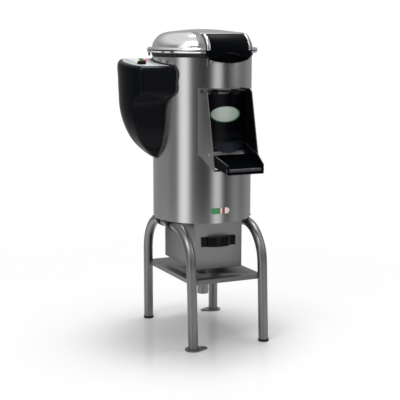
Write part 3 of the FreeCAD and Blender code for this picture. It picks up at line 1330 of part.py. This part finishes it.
def timer_knob():
    z0 = LABEL_T + FIT
    body = cyl(KNOB_R, z0, z0 + KNOB_H, KNOB_X, KNOB_Y)
    body = body.makeFillet(1.5, [e for e in body.Edges if len(e.Vertexes) == 1 and e.BoundBox.ZMin > z0 + 1])
    grip = box(KNOB_X - KNOB_R * 0.8, KNOB_X + KNOB_R * 0.8, KNOB_Y - SHEET * 2, KNOB_Y + SHEET * 2,
            z0 + KNOB_H,
               z0 + KNOB_H * 1.5)
    grip = grip.makeFillet(1.0, [e for e in grip.Edges if e.BoundBox.ZMin > z0 + KNOB_H * 1.4])
    shaft = cyl(KNOB_SHAFT_R, -BUTTON_STEM + BUTTON_TRAVEL, z0, KNOB_X, KNOB_Y)
    return on_panel(tidy(fuse([body, grip, shaft])))


def control_unit():
    x1 = -BODY_R - BOX_FLANGE_T - CUT
    w = UNIT_HALF
    z0 = UNIT_LOW
    z1 = UNIT_LOW + UNIT_H
    plate = box(x1 - SHEET * 2, x1, -w, w, z0, z1)
    contactor = box(x1 - UNIT_DEEP, x1 - SHEET * 2, -w * 0.6, w * 0.6, z0 + UNIT_H / 7, z1 - UNIT_H / 5)
    relay = box(x1 - UNIT_DEEP * 0.65, x1 - SHEET * 2, w * 0.65, w * 0.95, z0 + UNIT_H / 3, z1 - UNIT_H / 4)
    return tidy(fuse([plate, contactor, relay]))


def gland_wall():
    line = Part.makeLine(V(GLAND_X, 0, GLAND_Z), V(GLAND_X, BODY_R, GLAND_Z))
    return box_loft(0).common(line).BoundBox.YMax


def cable_gland():
    wall = gland_wall()
    nut_r = GLAND_R + SHEET * 2
    stem = cyl(GLAND_R, wall - BOX_WALL - GLAND_IN, wall + GLAND_OUT)
    flange = hexagon(nut_r, wall + GLAND_SEAT, wall + GLAND_OUT / 3, 0, 0)
    cone = cyl(GLAND_R + SHEET, wall + GLAND_OUT / 3, wall + GLAND_OUT)
    end = wall + GLAND_OUT - 1
    cone = cone.makeChamfer(SHEET * 2, [e for e in cone.Edges if len(e.Vertexes) == 1
            and e.BoundBox.ZMin > end])
    lock = hexagon(nut_r, wall - BOX_WALL - GLAND_IN, wall - BOX_WALL - GLAND_SEAT, 0, 0)
    gland = tidy(fuse([stem, flange, cone, lock])).cut(cyl(GLAND_BORE_R, 0, BODY_TOP))
    return pointed_back(gland, GLAND_X, GLAND_Z)


def tricolour_badge():
    plate = ring(BODY_R + BADGE_T, BODY_R, BADGE_Z - BADGE_HALF_H, BADGE_Z + BADGE_HALF_H)
    r = BADGE_HALF_H * 0.9
    w = BADGE_HALF_W
    h = BADGE_HALF_H
    core = box(-w + r, w - r, -BODY_R * 2, 0, BADGE_Z - h, BADGE_Z + h)
    ends = [rod_y(h, -BODY_R * 2, 0, -w + h, BADGE_Z), rod_y(h, -BODY_R * 2, 0, w - h, BADGE_Z)]
    pill = plate.common(fuse([core] + ends))
    pill.rotate(V(0, 0, 0), Z_AXIS, BADGE_AZ)
    return pill


def build():
    shapes = {}
    shapes["stand_tube_left"] = stand_tube(-TUBE_X, PLATE_T, CAP_FLOOR)
    shapes["stand_tube_right"] = stand_tube(TUBE_X, CAP_FLOOR, PLATE_T)
    shapes["floor_plates"] = fuse([floor_plate(-TUBE_X, FRONT_FOOT_Y, 1),
            floor_plate(TUBE_X, REAR_LEG_Y, -1)])
    shapes["rubber_feet"] = fuse([rubber_cap(-TUBE_X, REAR_LEG_Y), rubber_cap(TUBE_X, FRONT_FOOT_Y)])
    shapes["shelf_pan"] = shelf()
    shapes["drain_pipe"] = drain_pipe()
    straps = []
    bolts = []
    for sx in (-TUBE_X, TUBE_X):
        for sy in (STRAP_FRONT_Y, STRAP_REAR_Y):
            straps.append(saddle_strap(sx, sy))
            bolts += strap_bolts(sx, sy)
    shapes["saddle_straps"] = Part.makeCompound(straps)
    shapes["fixing_screws"] = Part.makeCompound(bolts + chute_screws().Solids)
    shapes["filter_housing"] = filter_housing()
    shapes["drawer_box"] = drawer_box()
    shapes["drawer_front"] = drawer_front()
    shapes["drawer_handle"] = drawer_handle()
    shapes["filter_basket"] = filter_basket()
    shapes["base_plate"] = base_plate()
    shapes["outer_casing"] = outer_casing()
    shapes["port_frame"] = port_frame()
    shapes["top_ring"] = top_ring()
    shapes["bowl_liner"] = bowl_liner()
    shapes["bowl_floor"] = bowl_floor()
    shapes["waste_duct"] = waste_duct()
    shapes["bearing_housing"] = bearing_housing()
    shapes["spindle_bearings"] = Part.makeCompound([bearing(BEARING_LOW_Z), bearing(BEARING_HIGH_Z)])
    shapes["shaft_seal"] = shaft_seal()
    shapes["motor_body"] = motor_body()
    shapes["motor_mount"] = motor_mount()
    shapes["drive_belt"] = drive_belt()
    shapes["motor_rotor"] = motor_rotor()
    shapes["driven_pulley"] = driven_pulley()
    shapes["spindle"] = spindle()
    shapes["abrasive_disc"] = abrasive_disc()
    shapes["disc_cap"] = disc_cap()
    shapes["solenoid_valve"] = solenoid_valve()
    shapes["water_inlet"] = water_inlet()
    shapes["spray_pipe"] = spray_pipe()
    shapes["chute_frame"] = chute_frame()
    shapes["chute_liner"] = chute_liner()
    shapes["door_rod"] = door_rod()
    shapes["discharge_door"] = discharge_door()
    shapes["door_gasket"] = door_gasket()
    shapes["door_badge"] = door_badge()
    shapes["discharge_tray"] = discharge_tray()
    shapes["tray_bar"] = tray_bar()
    shapes["lid_dome"] = lid_dome()
    shapes["lid_grip_cover"] = lid_grip_cover()
    shapes["lid_gasket"] = lid_gasket()
    shapes["lid_hinge_leaf"] = lid_hinge_leaf()
    shapes["lid_screws"] = lid_screws()
    shapes["lid_switch_tab"] = lid_switch_tab()
    shapes["hinge_bracket"] = hinge_bracket()
    shapes["hinge_pin"] = hinge_pin()
    shapes["lid_catch"] = lid_catch()
    shapes["control_box"] = control_box()
    shapes["control_gasket"] = control_gasket()
    shapes["control_label"] = control_label()
    shapes["start_button"] = push_button(START_X, START_Y)
    shapes["stop_button"] = push_button(STOP_X, STOP_Y)
    shapes["timer_knob"] = timer_knob()
    shapes["control_unit"] = control_unit()
    shapes["cable_gland"] = cable_gland()
    shapes["tricolour_badge"] = tricolour_badge()
    return shapes


def centring(shapes):
    # the finished part has its origin on the floor, under the middle of its outline
    limits = Part.makeCompound(list(shapes.values())).optimalBoundingBox(False, False)
    return V(-(limits.XMin + limits.XMax) / 2, -(limits.YMin + limits.YMax) / 2, 0)


SHAPES = build()
SHIFT = centring(SHAPES)
os.makedirs("parts", exist_ok=True)
for name, shape in SHAPES.items():
    moved = shape.copy()
    moved.translate(SHIFT)
    moved.exportStep("parts/" + name + ".step")
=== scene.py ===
import json
import math

import bpy
from mathutils import Matrix, Vector


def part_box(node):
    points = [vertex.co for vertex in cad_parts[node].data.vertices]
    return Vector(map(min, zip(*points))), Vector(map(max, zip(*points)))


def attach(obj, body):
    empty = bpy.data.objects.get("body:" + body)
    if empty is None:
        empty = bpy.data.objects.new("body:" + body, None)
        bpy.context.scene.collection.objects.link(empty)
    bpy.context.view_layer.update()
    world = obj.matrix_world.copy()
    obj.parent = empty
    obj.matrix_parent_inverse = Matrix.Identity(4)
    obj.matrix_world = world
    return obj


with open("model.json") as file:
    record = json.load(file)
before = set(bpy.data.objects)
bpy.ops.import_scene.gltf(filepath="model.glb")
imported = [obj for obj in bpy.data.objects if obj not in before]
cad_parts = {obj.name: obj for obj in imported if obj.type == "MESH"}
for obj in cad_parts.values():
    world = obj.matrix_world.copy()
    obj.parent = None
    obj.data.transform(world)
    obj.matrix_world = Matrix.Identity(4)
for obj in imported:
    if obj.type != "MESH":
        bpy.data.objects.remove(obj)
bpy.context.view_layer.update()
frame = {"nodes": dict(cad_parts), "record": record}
NODES = frame["nodes"]
RECORD = frame["record"]
SLOT_OF = {row["node"]: row["material_slot"] for row in RECORD["subparts"]}


# Camera and light

EYE = Vector((-1.5229, -3.5096, 1.2029))
LOOK_AZIMUTH = 0.41468
LOOK_DOWN = 0.17019
LOOK_ROLL = 0.002
LENS = 88.914
SENSOR = 36.0
VIEW_END = 100.0

# Lamps: name, place, size and power; all aim at the middle of the machine
TARGET = Vector((0, 0, 0.7))
LAMPS = [
    ("key", (-2.0, -1.6, 3.6), (1.4, 1.4), 55),
    ("top", (0.5, 0.5, 3.4), (1.2, 1.2), 48),
    ("fill", (2.6, -1.6, 2.2), (1.2, 2.0), 12),
]


def add_camera():
    data = bpy.data.cameras.new("camera")
    data.lens = LENS
    data.sensor_width = SENSOR
    data.clip_end = VIEW_END
    camera = bpy.data.objects.new("camera", data)
    bpy.context.scene.collection.objects.link(camera)
    ahead = Vector((math.sin(LOOK_AZIMUTH) * math.cos(LOOK_DOWN),
                    math.cos(LOOK_AZIMUTH) * math.cos(LOOK_DOWN), -math.sin(LOOK_DOWN)))
    right = ahead.cross(Vector((0, 0, 1))).normalized()
    up = right.cross(ahead)
    c, s = math.cos(LOOK_ROLL), math.sin(LOOK_ROLL)
    right, up = c * right + s * up, c * up - s * right
    turn = Matrix((right, up, -ahead)).transposed()
    camera.matrix_world = Matrix.Translation(EYE) @ turn.to_4x4()
    bpy.context.scene.camera = camera


def add_lamp(name, place, size, power):
    data = bpy.data.lights.new(name, "AREA")
    data.shape = "RECTANGLE"
    data.size, data.size_y = size
    data.energy = power
    lamp = bpy.data.objects.new(name, data)
    lamp.location = place
    lamp.rotation_euler = (TARGET - Vector(place)).to_track_quat("-Z", "Y").to_euler()
    bpy.context.scene.collection.objects.link(lamp)


class Graph:
    """Adds nodes to a node tree and joins them. An input named i0, i1 and so on is taken by its number."""

    def __init__(self, tree):
        self.tree = tree
        tree.nodes.clear()

    def add(self, kind, settings=None, **inputs):
        node = self.tree.nodes.new(kind)
        for key, value in (settings or {}).items():
            setattr(node, key, value)
        for key, value in inputs.items():
            by_number = key[0] == "i" and key[1:].isdigit()
            self.put(node.inputs[int(key[1:]) if by_number else key.replace("_", " ")], value)
        return node

    def blend(self, value, start, end, low, high):
        """A soft step from low to high while a value goes from start to end."""
        node = self.add("ShaderNodeMapRange", {"interpolation_type": "SMOOTHSTEP"}, Value=value)
        for name, number in (("From Min", start), ("From Max", end), ("To Min", low), ("To Max", high)):
            node.inputs[name].default_value = number
        return node

    def scaled(self, vector, factor):
        node = self.add("ShaderNodeVectorMath", {"operation": "SCALE"}, i0=vector)
        self.put(node.inputs["Scale"], factor)
        return node

    def put(self, socket, value):
        if isinstance(value, bpy.types.NodeSocket):
            self.tree.links.new(value, socket)
        elif isinstance(value, bpy.types.Node):
            self.tree.links.new(value.outputs[0], socket)
        else:
            socket.default_value = value

    def math(self, operation, a, b=0.0, clamp=False):
        return self.add("ShaderNodeMath", {"operation": operation, "use_clamp": clamp}, i0=a, i1=b)

    def ramp(self, value, stops, mode="LINEAR"):
        node = self.add("ShaderNodeValToRGB", i0=value)
        node.color_ramp.interpolation = mode
        elements = node.color_ramp.elements
        elements.remove(elements[1])
        elements[0].position = stops[0][0]
        elements[0].color = (*stops[0][1][:3], 1)
        for at, colour in stops[1:]:
            elements.new(at).color = (*colour[:3], 1)
        return node


def grey(v):
    return (v, v, v, 1)


# The studio round the object: a dark front, a soft box on either side of the camera, and pale walls.
# Each stop is an angle in degrees from the camera's own side, positive to its right, and a strength.
STUDIO = [(-180, 0.40), (-120, 0.34), (-90, 0.33), (-72, 0.22), (-60, 0.24), (-52, 1.1), (-46, 1.3),
          (-36, 1.3),
          (-29, 0.6), (-22, 0.14), (0, 0.05), (17, 0.07), (25, 0.45), (31, 0.95), (42, 0.85), (50,
                                                                                               0.16), (58,
                                                                                                       0.04),
          (68, 0.16), (84, 0.34), (104, 0.22), (130, 0.34), (180, 0.40)]
BRIGHTEST = 1.3
CEILING = 0.8
CEILING_EDGE = [(0.0, grey(0.0)), (0.35, grey(0.0)), (0.62, grey(1.0)), (1.0, grey(1.0))]


def add_world():
    world = bpy.data.worlds.new("studio")
    bpy.context.scene.world = world
    world.use_nodes = True
    g = Graph(world.node_tree)
    way = g.add("ShaderNodeTexCoord")
    parts = g.add("ShaderNodeSeparateXYZ", i0=way.outputs["Generated"])
    x, y, z = parts.outputs[0], parts.outputs[1], parts.outputs[2]
    # The angle of each direction round the vertical, from the direction of the camera
    side = Vector((math.cos(LOOK_AZIMUTH), -math.sin(LOOK_AZIMUTH)))
    near = Vector((-math.sin(LOOK_AZIMUTH), -math.cos(LOOK_AZIMUTH)))
    across = g.math("ADD", g.math("MULTIPLY", x, side.x), g.math("MULTIPLY", y, side.y))
    toward = g.math("ADD", g.math("MULTIPLY", x, near.x), g.math("MULTIPLY", y, near.y))
    angle = g.math("ARCTAN2", across, toward)
    turn = g.math("ADD", g.math("MULTIPLY", angle, 0.5 / math.pi), 0.5)
    bands = g.ramp(turn, [((a + 180) / 360, grey(v / BRIGHTEST)) for a, v in STUDIO])
    walls = g.math("MULTIPLY", bands, BRIGHTEST)
    ceiling = g.ramp(z, CEILING_EDGE)
    lit = g.add("ShaderNodeMix", {"data_type": "FLOAT"}, i0=ceiling, i2=walls, i3=CEILING)
    path = g.add("ShaderNodeLightPath")
    shown = g.add("ShaderNodeMix", {"data_type": "FLOAT"}, i0=path.outputs["Is Camera Ray"], i2=lit, i3=1.0)
    back = g.add("ShaderNodeBackground", i0=(1, 1, 1, 1), i1=shown)
    g.add("ShaderNodeOutputWorld", i0=back)


# Materials: each has fine grain, slow blotches and a bump, all in the object's own coordinates

BLOTCH_SCALE = 9.0
COAT_ROUGH = 0.15


def surface(name, colour, rough, metallic=0.0, grain=(90, 90, 90), fine=0.05, slow=0.06, bump=0.02,
            depth=0.0004, specular=0.5, coat=0.0, spread=0.05, paint=None):
    """A material. The grain is the noise's frequency along x, y and z; fine and slow are how far the
    grain and the blotches change the colour, and spread how far the blotches change the roughness."""
    material = bpy.data.materials.new(name)
    material.use_nodes = True
    g = Graph(material.node_tree)
    place = g.add("ShaderNodeTexCoord")
    stretched = g.add("ShaderNodeMapping", i0=place.outputs["Object"], Scale=grain)
    streak = g.add("ShaderNodeTexNoise", Vector=stretched, Scale=1.0, Detail=4.0, Roughness=0.6)
    blotch = g.add("ShaderNodeTexNoise", Vector=place.outputs["Object"], Scale=BLOTCH_SCALE, Detail=3.0,
                   Roughness=0.55)
    streaky = g.math("SUBTRACT", streak, 0.5)
    blotchy = g.math("SUBTRACT", blotch, 0.5)
    tone = g.math("ADD", g.math("MULTIPLY", streaky, fine * 2), g.math("MULTIPLY", blotchy, slow * 2))
    base = paint(g, place) if paint else colour
    tinted = g.scaled(base, g.math("ADD", tone, 1.0))
    roughness = g.math("ADD", g.math("MULTIPLY", blotchy, spread * 2), rough, clamp=True)
    relief = g.add("ShaderNodeBump", Strength=bump, Distance=depth, Height=streak)
    shader = g.add("ShaderNodeBsdfPrincipled", Base_Color=tinted, Roughness=roughness, Metallic=metallic,
                   Normal=relief)
    shader.inputs["Specular IOR Level"].default_value = specular
    shader.inputs["Coat Weight"].default_value = coat
    shader.inputs["Coat Roughness"].default_value = COAT_ROUGH
    g.add("ShaderNodeOutputMaterial", Surface=shader)
    return material


def across_box(g, place, node, axis):
    """0 to 1 along one axis of a node's own box."""
    low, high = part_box(node)
    parts = g.add("ShaderNodeSeparateXYZ", i0=place.outputs["Object"])
    return g.math("DIVIDE", g.math("SUBTRACT", parts.outputs[axis], low[axis]), high[axis] - low[axis])


def between(g, place, low, high):
    """0 to 1 from one height to another."""
    parts = g.add("ShaderNodeSeparateXYZ", i0=place.outputs["Object"])
    return g.math("DIVIDE", g.math("SUBTRACT", parts.outputs[2], low), high - low)


GREEN = (0.035, 0.22, 0.07)
WHITE = (0.85, 0.85, 0.83)
RED = (0.40, 0.07, 0.05)
ALUMINIUM = (0.80, 0.80, 0.81)
# Painted shade for the groove of the lid's rolled rim
GROOVE_SHADE = (0.05, 0.05, 0.05)
DOOR_BLACK = (0.0012, 0.0016, 0.003)
DOOR_BAND = (0.005, 0.006, 0.009)
DOOR_LOW = 0.748
DOOR_HIGH = 0.986
RIM_LOW = 1.117
RIM_TOP = 1.138
OVAL_X = 0.485
OVAL_Z = 0.52


def tricolour_paint(g, place):
    along = across_box(g, place, "tricolour_badge", 0)
    return g.ramp(along, [(0.0, GREEN), (0.50, WHITE), (0.58, RED), (0.74, WHITE)], "CONSTANT")


def badge_paint(g, place):
    """A bare oval plate with a green edge."""
    u = g.math("MULTIPLY", g.math("SUBTRACT", across_box(g, place, "door_badge", 0), OVAL_X), 2.0)
    v = g.math("MULTIPLY", g.math("SUBTRACT", across_box(g, place, "door_badge", 2), OVAL_Z), 2.0)
    ring = g.math("SQRT", g.math("ADD", g.math("MULTIPLY", u, u), g.math("MULTIPLY", v, v)))
    return g.ramp(ring, [(0.0, (0.56, 0.62, 0.58)), (0.90, (0.50, 0.57, 0.52)), (0.94, (0.10, 0.27, 0.15)),
                         (1.0, (0.05, 0.2, 0.09))])


def label_paint(g, place):
    """The panel's label: a darker zone at its outer end."""
    along = across_box(g, place, "control_label", 0)
    return g.ramp(along, [(0.0, (0.30, 0.34, 0.32)), (0.30, (0.32, 0.36, 0.34)), (0.34, (0.52, 0.53, 0.53)),
                          (1.0, (0.56, 0.57, 0.57))])


def door_paint(g, place):
    """Black, with painted light on the grip lip, which is lit from above, and a little paler just above it.
    """
    height = between(g, place, DOOR_LOW, DOOR_HIGH)
    return g.ramp(height, [(0.0, (0.016, 0.018, 0.026)), (0.165, (0.014, 0.016, 0.023)), (0.19, DOOR_BLACK),
                           (0.22, DOOR_BAND), (0.30, DOOR_BAND), (0.34, DOOR_BLACK), (1.0, DOOR_BLACK)])


def lid_paint(g, place):
    """Bare aluminium with a band of painted shade round the rolled rim, where its groove is."""
    height = between(g, place, RIM_LOW, RIM_TOP)
    return g.ramp(height, [(0.0, ALUMINIUM), (0.36, ALUMINIUM), (0.42, GROOVE_SHADE), (0.54, GROOVE_SHADE),
                           (0.60, ALUMINIUM), (1.0, ALUMINIUM)])


# The material of each slot of the record
SLOTS = {
    "casing_steel": dict(colour=(0.53, 0.53, 0.535), rough=0.2, metallic=1.0, grain=(5, 5, 700),
                         fine=0.03, slow=0.01, bump=0.012, depth=0.0002, spread=0.02),
    "stand_steel": dict(colour=(0.23, 0.23, 0.232), rough=0.38, metallic=1.0, grain=(300, 300, 300),
                        fine=0.05, bump=0.03),
    "filter_steel": dict(colour=(0.27, 0.27, 0.272), rough=0.42, metallic=1.0, grain=(6, 6, 700),
                         fine=0.04, bump=0.03),
    "lid_aluminium": dict(colour=ALUMINIUM, rough=0.16, metallic=1.0, grain=(40, 40, 40), fine=0.02,
                          slow=0.03, bump=0.008,
                          paint=lid_paint),
    "black_plastic": dict(colour=(0.0016, 0.002, 0.0034), specular=0.07, rough=0.27,
                          grain=(900, 900, 900), fine=0.15, bump=0.05, depth=0.0002),
    "black_matte": dict(colour=(0.0025, 0.0025, 0.003), specular=0.06, rough=0.4, grain=(700, 700, 700),
                        fine=0.2, bump=0.08, depth=0.0002),
    "seal_rubber": dict(colour=(0.006, 0.006, 0.006), rough=0.6, grain=(400, 400, 400), fine=0.2,
                        bump=0.1, depth=0.0003),
    "abrasive": dict(colour=(0.20, 0.185, 0.165), rough=0.85, grain=(500, 500, 500), fine=0.5, slow=0.12,
                     bump=0.9, depth=0.0015),
    "cast_iron": dict(colour=(0.30, 0.30, 0.31), rough=0.55, metallic=0.9, grain=(260, 260, 260),
                      fine=0.15, bump=0.3, depth=0.0006),
    "motor_paint": dict(colour=(0.09, 0.11, 0.14), rough=0.45, grain=(220, 220, 220), fine=0.1, bump=0.15,
                        depth=0.0005),
    "label_grey": dict(colour=(0.8, 0.8, 0.8), rough=0.4, grain=(500, 500, 500), fine=0.03, bump=0.02,
                       paint=label_paint),
    "button_green": dict(colour=(0.03, 0.25, 0.07), rough=0.3, grain=(500, 500, 500), fine=0.08, bump=0.03),
    "button_red": dict(colour=(0.45, 0.02, 0.02), rough=0.3, grain=(500, 500, 500), fine=0.08, bump=0.03),
    "badge": dict(colour=(0.5, 0.5, 0.5), rough=0.25, grain=(500, 500, 500), fine=0.02, bump=0.02,
                  coat=0.5, paint=badge_paint),
    "tricolour": dict(colour=(0.5, 0.5, 0.5), rough=0.22, grain=(500, 500, 500), fine=0.02, bump=0.02,
                      coat=0.6, paint=tricolour_paint),
    "brass": dict(colour=(0.70, 0.52, 0.24), rough=0.35, metallic=1.0, grain=(200, 200, 200), fine=0.08,
                  bump=0.05),
    "pin_steel": dict(colour=(0.66, 0.66, 0.67), rough=0.22, metallic=1.0, grain=(500, 500, 500),
                      fine=0.05, bump=0.03),
}

# Pieces that differ from the rest of their material
OWN = {
    "chute_frame": dict(colour=(0.36, 0.36, 0.363), rough=0.42, fine=0.03, slow=0.02),
    # shelf_pan: darker than the stand steel, painted shade under the machine
    "shelf_pan": dict(colour=(0.16, 0.16, 0.162), rough=0.3),
    # tray_bar and control_gasket: a paler dark grey, painted highlight along the bar and along the gasket
    # line
    "tray_bar": dict(colour=(0.03, 0.032, 0.042), specular=0.5, rough=0.25),
    "control_gasket": dict(colour=(0.022, 0.023, 0.03), specular=0.5, rough=0.3),
    "door_rod": dict(colour=(0.01, 0.01, 0.01), metallic=0.0, specular=0.3),
    "lid_grip_cover": dict(specular=0.03, rough=0.4),
    "control_box": dict(colour=(0.0022, 0.0027, 0.0045), specular=0.1, rough=0.24),
    "discharge_door": dict(specular=0.1, rough=0.2, paint=door_paint),
    "drawer_handle": dict(specular=0.16, rough=0.16),
    "rubber_feet": dict(rough=0.5, specular=0.2),
}


def dress():
    made = {name: surface(name, **settings) for name, settings in SLOTS.items()}
    for node, thing in NODES.items():
        slot = SLOT_OF[node]
        material = made[slot]
        if node in OWN:
            material = surface(node + "_look", **{**SLOTS[slot], **OWN[node]})
        thing.data.materials.clear()
        thing.data.materials.append(material)


def sleeve(name, rows, material, body):
    """A closed piece through a row of rings, each with the same number of points."""
    ring = len(rows[0])
    verts = [point for row in rows for point in row]
    faces = []
    for i in range(len(rows) - 1):
        for k in range(ring):
            a, b = i * ring + k, i * ring + (k + 1) % ring
            faces.append((a, b, b + ring, a + ring))
    faces.append(tuple(reversed(range(ring))))
    faces.append(tuple(range(len(verts) - ring, len(verts))))
    mesh = bpy.data.meshes.new(name)
    mesh.from_pydata(verts, [], faces)
    mesh.shade_smooth()
    thing = bpy.data.objects.new(name, mesh)
    bpy.context.scene.collection.objects.link(thing)
    mesh.materials.append(material)
    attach(thing, body)


def on_cover(x, turn, lift):
    """The point of the grip cover's face that lies at an angle up from the front, in the plane at x."""
    way = Vector((0, -math.cos(turn), math.sin(turn)))
    start = Vector((x, COVER_Y, COVER_Z)) + way * COVER_FAR
    hit, place, normal, face = COVER.ray_cast(start, -way)
    return place + normal * lift if hit else None


def edging(name, x0, x1, material, body):
    """A thin flange laid along one edge of the grip cover."""
    columns = [x0, (x0 + x1) / 2, x1]
    rows = []
    for turn in UPWARD:
        outer = [on_cover(x, turn, EDGING_T) for x in columns]
        inner = [on_cover(x, turn, -EDGING_T) for x in columns]
        if None not in outer and None not in inner:
            rows.append(outer + inner[::-1])
    sleeve(name, rows, material, body)


def bead(name, path, radius, material, body):
    """A round bead along a line of points."""
    points = [Vector(p) for p in path]
    rows = []
    for i, point in enumerate(points):
        ahead = (points[min(i + 1, len(points) - 1)] - points[max(i - 1, 0)]).normalized()
        out = ahead.cross(Vector((0, 0, 1))).normalized()
        up = out.cross(ahead)
        turns = [2 * math.pi * k / BEAD_SIDES for k in range(BEAD_SIDES)]
        rows.append([point + radius * (math.cos(turn) * out + math.sin(turn) * up) for turn in turns])
    sleeve(name, rows, material, body)


# The floor is a disc that fades out from FLOOR_FADE to FLOOR_REACH. It carries a painted shadow under the
# machine, darkest at the middle and gone at the shadow's reach, and from SHADE_REACH to CLEAN_REACH it turns
# to plain white for the camera.
FLOOR_REACH = 2.4
FLOOR_FADE = 1.3
FLOOR_SIDES = 96
# Reach and darkest tone of the painted shadow under the machine
SHADOW_PAINT_REACH = 0.55
SHADOW_PAINT_TONE = 0.55
SHADE_REACH = 0.25
CLEAN_REACH = 0.85
GLOW_NEAR = 0.1
GLOW_FAR = 0.92


def add_floor():
    bpy.ops.mesh.primitive_circle_add(vertices=FLOOR_SIDES, radius=FLOOR_REACH, fill_type="NGON")
    floor = bpy.context.object
    floor.name = "floor"
    material = bpy.data.materials.new("floor_white")
    material.use_nodes = True
    g = Graph(material.node_tree)
    place = g.add("ShaderNodeTexCoord")
    cloud = g.add("ShaderNodeTexNoise", Vector=place.outputs["Object"], Scale=0.6, Detail=2.0)
    tone = g.ramp(cloud, [(0.3, grey(0.86)), (0.7, grey(0.9))])
    away = g.add("ShaderNodeVectorMath", {"operation": "LENGTH"}, i0=place.outputs["Object"])
    far = away.outputs["Value"]
    # Painted shadow: the floor's colour darkens towards the middle, under the machine
    shade = g.scaled(tone, g.blend(far, 0.0, SHADOW_PAINT_REACH, SHADOW_PAINT_TONE, 1.0))
    shader = g.add("ShaderNodeBsdfPrincipled", Base_Color=shade, Roughness=0.12)
    shader.inputs["Specular IOR Level"].default_value = 0.4
    glow = g.add("ShaderNodeEmission", i0=(1, 1, 1, 1), i1=1.0)
    path = g.add("ShaderNodeLightPath")
    clean = g.blend(far, SHADE_REACH, CLEAN_REACH, GLOW_NEAR, GLOW_FAR)
    share = g.math("MULTIPLY", path.outputs["Is Camera Ray"], clean)
    lit = g.add("ShaderNodeMixShader", i0=share, i1=shader, i2=glow)
    gone = g.blend(far, FLOOR_FADE, FLOOR_REACH, 0.0, 1.0)
    clear = g.add("ShaderNodeBsdfTransparent")
    mixed = g.add("ShaderNodeMixShader", i0=gone, i1=lit, i2=clear)
    g.add("ShaderNodeOutputMaterial", Surface=mixed)
    floor.data.materials.append(material)


bpy.context.scene.view_settings.view_transform = "Standard"
add_camera()
add_world()
for settings in LAMPS:
    add_lamp(*settings)
add_floor()
dress()
# A dark grey, paler than the black plastic, that paints a highlight on the tray's rims and the grip's lip
EDGE_SHEEN_BLACK = surface("edge_sheen_black", (0.035, 0.037, 0.048), 0.25, grain=(900, 900, 900), specular=0.5)
WING_METAL = surface("wing_metal", (0.5, 0.5, 0.51), 0.3, metallic=1.0, grain=(40, 40, 40), fine=0.04,
                     bump=0.01)

SIDES = ((-1, "left"), (1, "right"))
BEAD_SIDES = 10

# Beads along the upper edges of the tray, in a paler grey that paints a highlight on its rims: distance from
# the tray's middle, y and z
TRAY_RIM = [(0.0877, -0.131, 0.7777), (0.0877, -0.237, 0.7502), (0.0868, -0.241, 0.7488),
            (0.0715, -0.3205, 0.7195)]
TRAY_BEAD_R = 0.0022
TRAY_LOW, TRAY_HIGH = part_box("discharge_tray")
TRAY_MID = (TRAY_LOW.x + TRAY_HIGH.x) / 2
for side, name in SIDES:
    rim = [(TRAY_MID + side * across, y, z) for across, y, z in TRAY_RIM]
    bead("tray_bead_" + name, rim, TRAY_BEAD_R, EDGE_SHEEN_BLACK, "frame")

# Flanges of the lid's wing along both edges of the grip cover
COVER = NODES["lid_grip_cover"]
COVER_LOW, COVER_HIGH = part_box("lid_grip_cover")
COVER_MID = (COVER_LOW.x + COVER_HIGH.x) / 2
COVER_HALF = (COVER_HIGH.x - COVER_LOW.x) / 2
COVER_Y = -0.075
COVER_Z = 1.12
COVER_FAR = 0.4
EDGING_T = 0.0008
EDGING_OUT = 0.002
EDGING_IN = 0.015
UPWARD = [math.radians(a) for a in range(6, 88, 3)]

for side, name in SIDES:
    edging("lid_wing_edge_" + name, COVER_MID + side * (COVER_HALF - EDGING_OUT),
           COVER_MID + side * (COVER_HALF - EDGING_IN), WING_METAL, "lid")

# The arched lip over the grip, on the front of the cover, in a paler grey that paints its highlight
LIP_HALF = 0.068
LIP_TOP = 1.121
LIP_DROP = 0.024
LIP_R = 0.0018
LIP_STEPS = 10
FRONT = -1.0
lip = []
for step in range(-LIP_STEPS, LIP_STEPS + 1):
    part = step / LIP_STEPS
    start = Vector((COVER_MID + LIP_HALF * part, FRONT, LIP_TOP - LIP_DROP * part ** 2))
    hit, place, normal, face = COVER.ray_cast(start, Vector((0, 1, 0)))
    if hit:
        lip.append(place)
bead("lid_grip_lip", lip, LIP_R, EDGE_SHEEN_BLACK, "lid")
